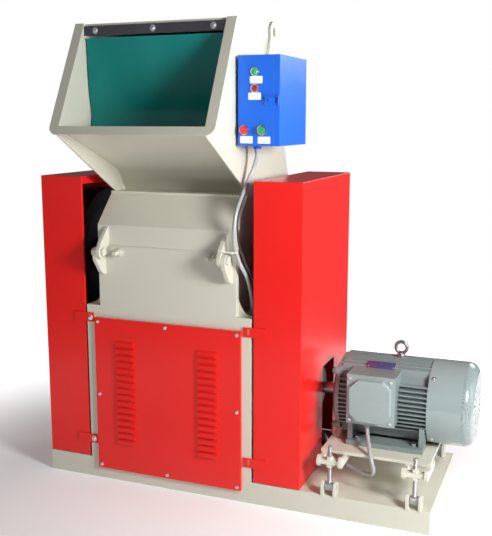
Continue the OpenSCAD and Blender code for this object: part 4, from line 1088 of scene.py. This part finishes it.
@dataclass
class Hopper(Assembly):
    """Trim of the feed hopper: welds, strip bolts and the curtain."""

    thickness: float = 0.0026
    columns: int = 30
    rows: int = 34
    sag: tuple[tuple[float, float], ...] = (
        (0.0, -0.006), (0.004, -0.095), (0.010, -0.169), (0.020, -0.231), (0.015, -0.275),
        (0.014, -0.329),
    )
    side_gap: float = 0.0008
    strip_gap: float = 0.0015
    wave: float = 0.0022
    wave_turn: float = 9.0
    wave_drift: float = 2.2
    bolt_x: float = 0.195
    bolt_washer: tuple[float, ...] = (0.003, 0.0098, 0.0012, 0.0004)
    bolt_head: tuple[float, float] = (0.0063, 0.0048)
    lug_weld: float = 0.0026
    lug_weld_inset: float = 0.013
    lug_weld_drop: float = 0.101
    lug_corner: tuple[float, float] = (0.042, 0.035)

    def build(self) -> None:
        """Build the curtain, the bolts and the welds."""
        self.build_curtain()
        self.build_bolts()
        self.build_welds()

    def build_curtain(self) -> None:
        """Hang the curtain from its strip, bellied towards the inside."""
        low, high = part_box("curtain")
        half = high.x - self.side_gap
        line = smooth_path([(0.0, y, z) for y, z in self.sag], 8)
        drop = [length_of(line[: i + 1]) for i in range(len(line))]
        solid = Solid()
        front, back = (self.curtain_face(solid, line, drop, Vector((half, low.y + depth, high.z)))
                       for depth in (self.strip_gap, self.strip_gap + self.thickness))
        down, across = range(self.rows), range(self.columns)
        for i in down:
            for j in across:
                for face in ([front[i][j], front[i][j + 1], front[i + 1][j + 1], front[i + 1][j]],
                             [back[i][j], back[i + 1][j], back[i + 1][j + 1], back[i][j + 1]]):
                    solid.bm.faces.new(face)
        border = [(0, j) for j in across] + [(i, self.columns) for i in down]
        border += [(self.rows, j + 1) for j in reversed(across)]
        border += [(i + 1, 0) for i in reversed(down)]
        for (i, j), (m, n) in zip(border, border[1:] + border[:1]):
            solid.bm.faces.new([front[i][j], back[i][j], back[m][n], front[m][n]])
        sheet = self.mount(solid, "curtain_sheet", Finish.CURTAIN, Slot.CURTAIN, Body.CURTAIN,
                           ["curtain"])

    def curtain_face(self, solid: Solid, line: Sequence[Vector], drop: Sequence[float],
                     corner: Vector) -> list[list[bmesh.types.BMVert]]:
        """Add the points of one face of the curtain.

        Args:
            solid: Mesh to add to.
            line: Points down the curtain's middle.
            drop: Length of the curtain at each of them.
            corner: Upper corner of the face.

        Returns:
            The points, row by row.
        """
        grid = []
        for i in range(self.rows + 1):
            at = drop[-1] * i / self.rows
            k = max(j for j, d in enumerate(drop[:-1]) if d <= at + 1e-9)
            point = line[k].lerp(line[k + 1], (at - drop[k]) / (drop[k + 1] - drop[k]))
            row = []
            for j in range(self.columns + 1):
                share = 2 * j / self.columns - 1
                ripple = math.sin(self.wave_turn * share + self.wave_drift * i / self.rows)
                wave = self.wave * (i / self.rows) * ripple
                place = (corner.x * share, corner.y + point.y + wave, corner.z + point.z)
                row.append(solid.bm.verts.new(place))
            grid.append(row)
        return grid

    def build_bolts(self) -> None:
        """Put three round-headed bolts through the strip."""
        low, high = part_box("curtain_bar")
        solid = Solid()
        for x in (-self.bolt_x, 0.0, self.bolt_x):
            place = facing((x, low.y, (low.z + high.z) / 2), FORWARD)
            solid.screw(place, self.bolt_washer, self.bolt_head)
        self.mount(solid, "curtain_strip_bolts", Finish.STEEL, Slot.STEEL, Body.HOPPER,
                   ["curtain_bolts"])

    def build_welds(self) -> None:
        """Lay fillet welds where the lifting lug meets the hopper's side."""
        low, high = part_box("lifting_lug")
        solid = Solid()
        x, back = low.x, high.y - self.lug_weld_inset
        depth, rise = self.lug_corner
        for line in ([(x, back, high.z - self.lug_weld_drop), (x, back, low.z)],
                     [(x, low.y, low.z + rise), (x, low.y + depth, low.z)]):
            solid.swept(*weld_line(line, self.lug_weld))
        self.mount(solid, "lug_welds", Finish.CREAM, Slot.CREAM, Body.HOPPER)


def weld_line(ends: Path, radius: float) -> tuple[list[Vector], Callable[[float], float]]:
    """Return the path and the rippled radius of a weld bead.

    Args:
        ends: Corners of the bead's line.
        radius: Mean radius of the bead.

    Returns:
        Points along the bead, and its radius by the share of the way along.
    """
    points = [Vector(p) for p in ends]
    path = []
    for a, b in zip(points, points[1:]):
        count = max(4, int((b - a).length / WELD_STEP))
        path += [a.lerp(b, k / count) for k in range(count)]
    path.append(points[-1])
    beads = max(3, int(length_of(path) / WELD_RIPPLE))

    def width(share: float) -> float:
        """Return the bead's radius."""
        end = min(1.0, WELD_TAPER * min(share, 1 - share) + WELD_TIP)
        return radius * end * (1 + WELD_SWELL * math.sin(2 * math.pi * beads * share))

    return path, width


@dataclass
class Chamber(Assembly):
    """Welds at the hinge ears of the cutting chamber."""

    bead: float = 0.0024
    ear_width: float = 0.0125
    lower_bare: float = 0.030
    upper_reach: float = 0.058

    def build(self) -> None:
        """Lay the welds of both chamber halves."""
        low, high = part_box("lower_hinge_ears")
        self.weld_ears("lower_ear_welds", Body.FRAME, high, (low.z, high.z - self.lower_bare))
        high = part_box("upper_hinge_ears")[1]
        self.weld_ears("upper_ear_welds", Body.HOPPER, high, (high.z - self.upper_reach, high.z))

    def weld_ears(self, name: str, body: Body, corner: Vector,
                  heights: tuple[float, float]) -> None:
        """Lay a bead down both sides of each ear.

        Args:
            name: Name of the welds.
            body: Body they ride on.
            corner: The ears' highest corner.
            heights: Lower and upper end of the beads.
        """
        solid = Solid()
        for side in (-1, 1):
            for x in (corner.x, corner.x - self.ear_width):
                line = [(side * x, corner.y, z) for z in heights]
                solid.swept(*weld_line(line, self.bead))
        self.mount(solid, name, Finish.CREAM, Slot.CREAM, body)


@dataclass
class Cladding(Assembly):
    """Fasteners of the red panel and guards."""

    screw: tuple[float, float] = (0.0062, 0.0042)
    screw_lift: float = 0.004
    bolt_radius: float = 0.008
    bolt_washer: tuple[float, ...] = (0.004, 0.0095, 0.0014, 0.0005)
    bolt_head: tuple[float, float] = (0.0068, 0.0056)

    def build(self) -> None:
        """Put round heads in place of the plain ones."""
        self.build_panel_screws()
        self.build_strap_bolts()

    def build_panel_screws(self) -> None:
        """Put eight screws round the panel's edge."""
        low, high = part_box("panel_screws")
        inset = self.screw[0]
        middle = (0.0, (low.z + high.z) / 2)
        solid = Solid()
        for x in (low.x + inset, middle[0], high.x - inset):
            for z in (low.z + inset, middle[1], high.z - inset):
                if (x, z) != middle:
                    place = facing((x, low.y + self.screw_lift, z), FORWARD)
                    solid.turned(dome_head(*self.screw), place, 28)
        self.mount(solid, "panel_screw_heads", Finish.STEEL, Slot.STEEL, Body.FRAME,
                   ["panel_screws"])

    def build_strap_bolts(self) -> None:
        """Put washered round-head bolts through the straps."""
        low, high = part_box("guard_strap_bolts")
        front, back = (corner.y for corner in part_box("guard_straps"))
        x = -low.x - self.bolt_radius
        solid = Solid()
        for z in (low.z + self.bolt_radius, high.z - self.bolt_radius):
            for side, y, way in ((-x, front, FORWARD), (-x, back, BACKWARD), (x, back, BACKWARD)):
                solid.screw(facing((side, y, z), way), self.bolt_washer, self.bolt_head)
        self.mount(solid, "strap_bolt_heads", Finish.STEEL, Slot.STEEL, Body.FRAME,
                   ["guard_strap_bolts"])


@dataclass
class ControlBox(Assembly):
    """Lamps, buttons, blank labels and the draw latch of the control box."""

    face_y: float = -0.270
    label_size: tuple[float, float, float] = (0.039, 0.0205, 0.0018)
    label_depth: float = 0.0011
    label_sunk: float = 0.0002
    label_edge: float = 0.0003
    labels: tuple[tuple[float, float], ...] = (
        (0.3065, 1.308), (0.3017, 1.2617), (0.2760, 1.137), (0.3312, 1.136),
    )
    lamps: tuple[tuple[float, float, Finish], ...] = (
        (0.303, 1.331, Finish.GREEN_LENS), (0.303, 1.284, Finish.RED_LENS),
    )
    lamp_rim: tuple[float, ...] = (0.0088, 0.0130, 0.0042, 0.0012)
    lens_radius: float = 0.0092
    lens_base: float = 0.0030
    lens_crown: float = 0.0050
    lens_sunk: float = 0.001
    button_z: float = 1.165
    stop_x: float = 0.270
    start_x: float = 0.326
    button_rim: tuple[float, ...] = (0.0112, 0.0148, 0.0072, 0.0018)
    button_cap: Outline = (
        (0.0, -0.004), (0.0106, -0.004), (0.0106, 0.0112), (0.0102, 0.0124), (0.0092, 0.0130),
        (0.0080, 0.0127), (0.0050, 0.0121), (0.0, 0.0118),
    )
    lever: Outline = (
        (-0.0012, -0.0075), (0.006, -0.0125), (0.018, -0.0125), (0.027, -0.008), (0.031, 0.0),
        (0.027, 0.008), (0.018, 0.0125), (0.006, 0.0125), (-0.0012, 0.0075),
    )
    lever_depth: float = 0.0028
    lever_sunk: float = 0.0012
    lever_edge: float = 0.0008
    lever_wire: Outline = ((0.004, -0.0012), (0.016, -0.0012), (0.030, -0.002), (0.040, -0.002))
    wire_z: float = 0.009
    wire_radius: float = 0.0014
    wire_end: Point = (0.040, -0.001, 0)
    wire_end_half: float = 0.0098
    wire_end_radius: float = 0.0016
    knuckle: Outline = ((0.0, -0.003), (0.0021, -0.003), (0.0021, 0.003), (0.0, 0.003))
    knuckle_z: float = 0.010
    lever_rivet: tuple[float, float] = (0.0042, 0.0036)
    lever_rivet_place: Point = (0.012, -0.0014, 0)
    pivot_place: Point = (0.0035, -0.004, 0)
    seat: Outline = (
        (-0.011, -0.004), (0.004, -0.0155), (0.0215, -0.0155), (0.0215, 0.0155), (0.004, 0.0155),
        (-0.011, 0.004),
    )
    seat_rivets: Outline = ((-0.0075, 0.0), (0.0080, -0.0125), (0.0080, 0.0125))
    seat_depth: float = 0.0016
    seat_edge: float = 0.0005
    rivet: tuple[float, float] = (0.0024, 0.0018)
    rivet_lift: float = 0.0014
    hook_plate: tuple[float, float, float] = (0.0085, 0.033, 0.003)
    hook_rivets: Outline = ((0.0, -0.0130), (0.0, 0.0130))
    hook_rod: Path = (
        (-0.0015, -0.0012, -0.0075), (-0.0015, -0.0012, 0.0), (-0.0015, -0.0012, 0.0075),
    )
    hook_radius: float = 0.0018
    hook_x: float = 0.3745

    def build(self) -> None:
        """Build every piece on the box."""
        self.build_labels()
        self.build_lamps()
        self.build_buttons()
        low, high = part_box("box_latch")
        middle = Vector((low.x, self.face_y, (low.z + high.z) / 2))
        self.build_latch(middle + Vector(self.pivot_place))
        self.build_latch_seat(middle)
        self.build_latch_hook(Vector((self.hook_x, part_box("box_door")[0].y, middle.z)))

    def build_labels(self) -> None:
        """Stick four blank labels under the lamps and buttons."""
        solid = Solid()
        for x, z in self.labels:
            place = facing((x, self.face_y + self.label_sunk, z), FORWARD)
            solid.prism(rounded(*self.label_size), self.label_depth, place, self.label_edge)
        self.mount(solid, "blank_labels", Finish.LABEL, Slot.CREAM, Body.HOPPER)

    def build_lamps(self) -> None:
        """Build the lamps' plated rims and domed lenses."""
        rims = Solid()
        crown = [(self.lens_radius * math.cos(a), self.lens_base + self.lens_crown * math.sin(a))
                 for a in (math.radians(d) for d in range(0, 90, 12))]
        base = [(0.0, -self.lens_sunk), (self.lens_radius, -self.lens_sunk)]
        lens = [*base, *crown, (0.0, self.lens_base + self.lens_crown)]
        for x, z, finish in self.lamps:
            place = facing((x, self.face_y, z), FORWARD)
            rims.turned(ring_profile(*self.lamp_rim), place)
            glass = Solid().turned(lens, place)
            self.mount(glass, finish.name.lower(), finish, Slot.LENS, Body.HOPPER)
        self.mount(rims, "lamp_rims", Finish.STEEL, Slot.STEEL, Body.HOPPER, ["indicator_lamps"])

    def build_buttons(self) -> None:
        """Build the push buttons and their plated bezels."""
        bezels = Solid()
        for x in (self.stop_x, self.start_x):
            place = facing((x, self.face_y, self.button_z), FORWARD)
            bezels.turned(ring_profile(*self.button_rim), place, 48)
        self.mount(bezels, "button_rims", Finish.STEEL, Slot.STEEL, Body.HOPPER, ["button_bezels"])
        for name, x, finish, slot, body, node in (
            ("stop_cap", self.stop_x, Finish.RED_CAP, Slot.STOP, Body.STOP, "stop_button"),
            ("start_cap", self.start_x, Finish.GREEN_CAP, Slot.GREEN, Body.START, "start_button"),
        ):
            place = facing((x, self.face_y, self.button_z), FORWARD)
            self.mount(Solid().turned(self.button_cap, place), name, finish, slot, body, [node])

    def build_latch(self, pivot: Vector) -> None:
        """Build the draw latch: a lever, a wire loop and the pivot's knuckles.

        Args:
            pivot: Middle of the latch's pivot.
        """
        lever = Solid()
        back = pivot + Vector((0, self.lever_sunk, 0))
        place = Matrix.Translation(back) @ Matrix.Rotation(math.pi / 2, 4, "X")
        lever.prism(self.lever, self.lever_depth, place, self.lever_edge)
        for side in (-1, 1):
            middle = pivot + Vector((0, 0, side * self.knuckle_z))
            lever.turned(self.knuckle, facing(middle, UPWARD), 20)
            wire = [pivot + Vector((x, y, side * self.wire_z)) for x, y in self.lever_wire]
            lever.swept(smooth_path(wire, 4), self.wire_radius, 10)
        end = pivot + Vector(self.wire_end)
        half = self.wire_end_half
        lever.swept([end + Vector((0, 0, t)) for t in (-half, 0.0, half)], self.wire_end_radius, 10)
        rivet = facing(pivot + Vector(self.lever_rivet_place), FORWARD)
        lever.turned(dome_head(*self.lever_rivet), rivet, 24)
        self.mount(lever, "latch_lever", Finish.BLUE, Slot.BLUE, Body.LATCH, ["box_latch"])

    def build_latch_seat(self, middle: Vector) -> None:
        """Rivet the latch's pointed seat to the case.

        Args:
            middle: Middle of the latch's left edge, on the case.
        """
        seat = Solid()
        self.riveted(seat, self.seat, middle, self.seat_rivets)
        self.mount(seat, "latch_seat", Finish.BLUE, Slot.BLUE, Body.HOPPER)

    def build_latch_hook(self, middle: Vector) -> None:
        """Rivet the latch's hook to the door.

        Args:
            middle: Middle of the hook's plate, on the door.
        """
        hook = Solid()
        rod = smooth_path([middle + Vector(step) for step in self.hook_rod], 4)
        hook.swept(rod, self.hook_radius, 12)
        self.riveted(hook, rounded(*self.hook_plate), middle, self.hook_rivets)
        self.mount(hook, "latch_hook", Finish.BLUE, Slot.BLUE, Body.DOOR)

    def riveted(self, solid: Solid, outline: Outline, middle: Vector, rivets: Outline) -> None:
        """Add a small plate with its rivets.

        Args:
            solid: Mesh to add to.
            outline: The plate's corners.
            middle: Origin of the outline, on the face that the plate lies on.
            rivets: Places of the rivets from it.
        """
        place = Matrix.Translation(middle) @ Matrix.Rotation(math.pi / 2, 4, "X")
        solid.prism(outline, self.seat_depth, place, self.seat_edge)
        for x, z in rivets:
            place = facing(middle + Vector((x, -self.rivet_lift, z)), FORWARD)
            solid.turned(dome_head(*self.rivet), place, 20)


@dataclass
class Cables(Assembly):
    """Cables between the control box, the motor and the cabinet, and their tie."""

    control_top: Point = (284, -200, 1121)
    control_foot: Point = (270, -205, 598)
    control_falls: Path = (
        (0, 0, 0), (0, 0, -13), (0, 0, -26), (-3, -2, -43), (-7, -5, -61), (-12, -10, -79),
        (-18, -18, -97), (-23, -35, -121), (-27, -52, -145), (-31, -71, -172), (-34, -86, -199),
        (-36, -94, -227), (-37, -98, -255), (-37, -97, -281), (-35, -92, -309),
    )
    control_rises: Path = (
        (-16, -79, 192), (-12, -71, 170), (-6, -53, 143), (-2, -35, 118), (-1, -20, 92),
        (0, -11, 67), (0, -4, 49), (0, -1, 32), (0, 0, 16), (0, 0, 0),
    )
    lead_top: Point = (629, -148, 275)
    lead_slot: Point = (450, 10, 146)
    lead_foot: Point = (290, -100, 130)
    lead_falls: Path = (
        (0, 0, 0), (0, 0, -19), (4, -10, -36), (13, -30, -55), (21, -48, -71), (27, -62, -85),
        (34, -70, -100), (39, -72, -117), (38, -69, -131), (31, -64, -139), (16, -55, -143),
        (-4, -44, -145), (-28, -31, -144), (-53, -18, -141),
    )
    lead_mids: Path = (
        (102, -156, -8), (78, -134, -8), (57, -105, -7), (36, -76, -4), (16, -36, -2), (0, 0, 0),
        (-15, 12, 1), (-30, 10, 0), (-44, -5, -3), (-58, -30, -6),
    )
    lead_rises: Path = ((82, 50, 6), (60, 20, 2), (41, 8, 1), (20, 0, 0), (0, 0, 0))
    tie_loop: Path = (
        (243.5, -304, 804), (252, -301, 805), (257, -292.5, 806), (253, -285, 807),
        (245, -284, 808), (240.5, -290, 807), (240, -298.5, 806), (243.5, -304, 804),
    )
    tie_tail: Path = ((243.5, -304, 804), (232, -308.5, 806), (220, -311, 808), (205, -314.5, 811))
    tie_head: tuple[Point, Point] = ((0.2400, -0.3085, 0.8015), (0.2480, -0.3025, 0.8075))
    tie_head_edge: float = 0.0008
    tie_radius: float = 0.0015
    tie_tail_radius: float = 0.0014
    control_bend: tuple[Point, Point] = ((0.250, -0.286, 0.93), (0.27, -0.216, 0.65))
    black_bend: tuple[Point, Point] = ((0.262, -0.276, 0.93), (0.283, -0.210, 0.65))
    lead_bend: tuple[Point, Point] = ((0.65, -0.2, 0.21), (0.58, -0.17, 0.13))
    black_diameter: float = 0.0065
    black_aside: tuple[float, float] = (-0.012, 0.026)
    black_behind: tuple[float, float] = (0.012, 0.004)
    black_crossing: float = 1.6
    origin: Point = (0, 0, 0)
    detail: int = 4
    tie_detail: int = 5

    def build(self) -> None:
        """Build the cables and the tie."""
        control = self.route((self.control_top, self.control_falls),
                             (self.control_foot, self.control_rises))
        lead = self.route((self.lead_top, self.lead_falls), (self.lead_slot, self.lead_mids),
                          (self.lead_foot, self.lead_rises))
        self.run("control_cable_run", control, (Body.HOPPER, Body.FRAME), "control_cable",
                 self.control_bend)
        self.run("motor_cable_run", lead, (Body.MOTOR, Body.FRAME), "motor_cable", self.lead_bend)
        self.build_black_cable(control)
        self.build_tie()

    @staticmethod
    def route(*parts: tuple[Point, Path]) -> list[Point]:
        """Return a route in metres from steps in millimetres.

        Args:
            parts: Places, each with steps from it.

        Returns:
            The route's points.
        """
        return [tuple((a + b) / 1000 for a, b in zip(place, step))
                for place, steps in parts for step in steps]

    def build_black_cable(self, beside: Path) -> None:
        """Run a thinner black cable beside the grey one.

        Args:
            beside: Route of the grey cable.
        """
        last = len(beside) - 1
        aside, across = self.black_aside
        behind, nearer = self.black_behind
        shifts = [(aside + across * min(1.0, self.black_crossing * i / last),
                   behind - nearer * i / last, 0.0) for i in range(last + 1)]
        route = [tuple(a + b for a, b in zip(p, d)) for p, d in zip(beside, shifts)]
        self.run("black_cable_run", route, (Body.HOPPER, Body.FRAME), None, self.black_bend,
                 self.black_diameter, Finish.BLACK_SHEATH)

    def run(self, name: str, route: Path, bodies: tuple[Body, Body], node: str | None,
            span: tuple[Point, Point], diameter: float = 0.012,
            finish: Finish = Finish.SHEATH) -> None:
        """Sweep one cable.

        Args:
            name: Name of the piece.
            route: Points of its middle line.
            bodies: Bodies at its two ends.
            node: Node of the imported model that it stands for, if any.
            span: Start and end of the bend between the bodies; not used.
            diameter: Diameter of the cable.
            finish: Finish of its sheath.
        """
        path = smooth_path(route, self.detail)
        solid = Solid().swept(path, diameter / 2, 18)
        piece = self.mount(solid, name, finish, Slot.SHEATH, bodies, [node] if node else [], span)
        length_of(path)

    def build_tie(self) -> None:
        """Loop a white tie round the cable and the upper ear."""
        solid = Solid()
        for steps, radius in ((self.tie_loop, self.tie_radius),
                              (self.tie_tail, self.tie_tail_radius)):
            solid.swept(smooth_path(self.route((self.origin, steps)), self.tie_detail), radius, 8)
        solid.box(*self.tie_head, self.tie_head_edge)
        self.mount(solid, "cable_tie", Finish.TIE, Slot.SHEATH, Body.FRAME)


@dataclass
class Motor(Assembly):
    """Nameplate, eyebolt and cowl screws of the motor."""

    axis_z: float = 0.323
    radius: float = 0.131
    plate_x: float = 0.650
    plate_size: tuple[float, float] = (0.088, 0.042)
    plate_corner: float = 0.003
    plate_depth: float = 0.0016
    plate_edge: float = 0.0004
    plate_gap: float = 0.0005
    plate_lean: float = 57.0
    plate_rivet: tuple[float, float] = (0.0026, 0.0018)
    plate_rivet_inset: float = 0.005
    plate_rivet_lift: float = 0.0012
    seat_half: float = 0.008
    seat_depth: float = 0.0103
    seat_edge: float = 0.001
    seat_sunk: float = 0.010
    ring_radius: float = 0.0177
    ring_bar: float = 0.0053
    ring_drop: float = 0.023
    collar_drop: float = 0.053
    collar: Outline = (
        (0.0, -0.012), (0.0060, -0.012), (0.0060, 0.0), (0.0130, 0.0), (0.0134, 0.0015),
        (0.0134, 0.006), (0.0125, 0.0078), (0.0080, 0.0090), (0.0064, 0.0120), (0.0070, 0.0150),
        (0.0, 0.0150),
    )
    cowl_screw_x: float = 0.817
    cowl_screw_gap: float = 0.0003
    cowl_screw_angles: tuple[float, ...] = (47.0, -47.0, 133.0, 227.0)
    cowl_washer: tuple[float, ...] = (0.003, 0.0068, 0.0012, 0.0004)
    cowl_head: tuple[float, float] = (0.0052, 0.0040)

    def build(self) -> None:
        """Build the motor's trim."""
        self.build_plate()
        self.build_eyebolt()
        self.build_cowl_screws()

    def radial(self, x: float, degrees: float, radius: float) -> Matrix:
        """Return a placement on the motor's round side, facing outwards.

        Args:
            x: Place along the motor.
            degrees: Angle above the front, about the motor's axis.
            radius: Distance from the axis.

        Returns:
            The placement, with local X along the motor.
        """
        a = math.radians(degrees)
        out = Vector((0, -math.cos(a), math.sin(a)))
        along = Vector((1, 0, 0))
        up = out.cross(along)
        turn = Matrix((along, up, out)).transposed().to_4x4()
        return Matrix.Translation(Vector((x, 0, self.axis_z)) + out * radius) @ turn

    def build_plate(self) -> None:
        """Fix a blank nameplate to the upper fins with two rivets."""
        plate = Solid()
        place = self.radial(self.plate_x, self.plate_lean, self.radius + self.plate_gap)
        outline = rounded(*self.plate_size, self.plate_corner)
        plate.prism(outline, self.plate_depth, place, self.plate_edge)
        self.mount(plate, "blank_nameplate", Finish.PLATE, Slot.MOTOR, Body.MOTOR)
        rivets = Solid()
        width, height = self.plate_size
        for x in (-1, 1):
            aside = x * (width / 2 - self.plate_rivet_inset)
            shift = Matrix.Translation((aside, 0, self.plate_rivet_lift))
            rivets.turned(dome_head(*self.plate_rivet), place @ shift, 20)
        self.mount(rivets, "nameplate_rivets", Finish.STEEL, Slot.STEEL, Body.MOTOR)
        seat = Solid()
        back = self.radial(self.plate_x, self.plate_lean, self.radius - self.seat_sunk)
        half = self.seat_half
        low, high = (-half, -height / 2, 0), (half, height / 2, self.seat_depth)
        for x in (-1, 1):
            shift = Matrix.Translation((x * (width / 2 - half), 0, 0))
            seat.box(low, high, self.seat_edge, back @ shift)
        self.mount(seat, "nameplate_seat", Finish.MOTOR, Slot.MOTOR, Body.MOTOR)

    def build_eyebolt(self) -> None:
        """Build the forged eyebolt: ring, neck and collar."""
        low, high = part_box("motor_eyebolt")
        x = (low.x + high.x) / 2
        solid = Solid()
        ring = [(self.ring_radius + self.ring_bar * math.cos(a), self.ring_bar * math.sin(a))
                for a in (2 * math.pi * k / 16 for k in range(16))]
        solid.turned(ring, facing((x, 0, high.z - self.ring_drop), BACKWARD), 56)
        solid.turned(self.collar, facing((x, 0, high.z - self.collar_drop), UPWARD), 36)
        self.mount(solid, "eyebolt", Finish.FORGED, Slot.STEEL, Body.MOTOR, ["motor_eyebolt"])

    def build_cowl_screws(self) -> None:
        """Put four screws round the cowl's open edge."""
        solid = Solid()
        for degrees in self.cowl_screw_angles:
            place = self.radial(self.cowl_screw_x, degrees, self.radius + self.cowl_screw_gap)
            solid.screw(place, self.cowl_washer, self.cowl_head, 28)
        self.mount(solid, "cowl_screws", Finish.STEEL, Slot.STEEL, Body.MOTOR)


@dataclass
class Studio:
    """Camera, lights, room and floor."""

    eye: Point = (1.19035, -2.56759, 1.19229)
    forward: Point = (-0.3645, 0.9149, -0.1738)
    up: Point = (-0.0643, 0.1615, 0.9848)
    focal_pixels: float = 835.5
    long_side_pixels: float = 536.0
    sensor: float = 36.0
    sight: float = 100.0
    floor_radius: float = 1.9
    floor_depth: float = 0.02
    target: Point = (0.1, -0.1, 0.75)
    lamps: tuple[tuple[str, Point, float, float], ...] = (
        ("key", (2.10, -1.15, 1.32), 0.55, 62.0), ("fill", (-1.5, -5.0, 2.2), 4.0, 22.0),
        ("side", (5.0, 0.4, 1.5), 2.0, 45.0), ("back", (2.0, 5.2, 2.8), 2.0, 75.0),
    )
    room_levels: tuple[tuple[float, float], ...] = ((0.0, 0.85), (0.35, 0.62), (0.75, 0.16))
    room_strength: float = 0.20

    def camera(self) -> None:
        """Place the camera at the photograph's viewpoint."""
        data = bpy.data.cameras.new("camera")
        data.sensor_width = self.sensor
        data.lens = self.focal_pixels * self.sensor / self.long_side_pixels
        data.clip_end = self.sight
        camera = bpy.data.objects.new("camera", data)
        bpy.context.scene.collection.objects.link(camera)
        back = -Vector(self.forward).normalized()
        side = Vector(self.up).cross(back).normalized()
        up = back.cross(side)
        turn = Matrix((side, up, back)).transposed().to_4x4()
        camera.matrix_world = Matrix.Translation(Vector(self.eye)) @ turn
        bpy.context.scene.camera = camera

    def lamp(self, name: str, where: Point, size: float, power: float) -> None:
        """Add a square soft light aimed at the machine.

        Args:
            name: Name of the light.
            where: Place of the light.
            size: Side of the light.
            power: Power in watts.
        """
        data = bpy.data.lights.new(name, "AREA")
        data.shape = "SQUARE"
        data.size = size
        data.energy = power
        lamp = bpy.data.objects.new(name, data)
        bpy.context.scene.collection.objects.link(lamp)
        lamp.matrix_world = facing(where, Vector(where) - Vector(self.target))

    def world(self) -> None:
        """Light the room softly, brightest low down, with a white backdrop for the camera."""
        world = bpy.data.worlds.new("room")
        bpy.context.scene.world = world
        graph = Graph(world, "Generated")
        stops = [(height, (level,) * 3) for height, level in self.room_levels]
        level = graph.out("ShaderNodeValToRGB", {"stops": stops}, {0: graph.axis("Z")})
        values = {"Color": level, "Strength": self.room_strength}
        soft = graph.out("ShaderNodeBackground", {}, values)
        plain = graph.out("ShaderNodeBackground", {}, {"Color": (*WHITE, 1.0), "Strength": 1.0})
        seen = graph.out("ShaderNodeLightPath", {}, {}, "Is Camera Ray")
        both = graph.out("ShaderNodeMixShader", {}, {0: seen, 1: soft, 2: plain})
        graph.node("ShaderNodeOutputWorld", {}, {"Surface": both})

    def floor(self, finishes: Finishes) -> None:
        """Lay the pale floor.

        Args:
            finishes: Materials to take the floor's from.
        """
        radius, depth = self.floor_radius, self.floor_depth
        disc = [(0.0, -depth), (radius, -depth), (radius, 0.0), (0.0, 0.0)]
        place = Matrix.Translation((self.target[0], self.target[1], 0.0))
        floor = Solid().turned(disc, place, 96).piece("studio_floor", finishes.get(Finish.FLOOR))

    def build(self, finishes: Finishes) -> None:
        """Build the whole studio.

        Args:
            finishes: Materials to take the floor's from.
        """
        self.camera()
        self.world()
        self.floor(finishes)
        for lamp in self.lamps:
            self.lamp(*lamp)
        view = bpy.context.scene.view_settings
        view.view_transform = "Standard"
        view.look = "None"


def main() -> None:
    """Build the granulator and its studio."""
    logging.basicConfig(level=logging.INFO, format="%(message)s")
    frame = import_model()
    finishes = Finishes()
    Studio().build(finishes)
    Cables(finishes).build()
    Shell(finishes).build(frame["nodes"])
    for assembly in (Hopper, Chamber, Cladding, ControlBox, Motor):
        assembly(finishes).build()


if __name__ == "__main__":
    main()
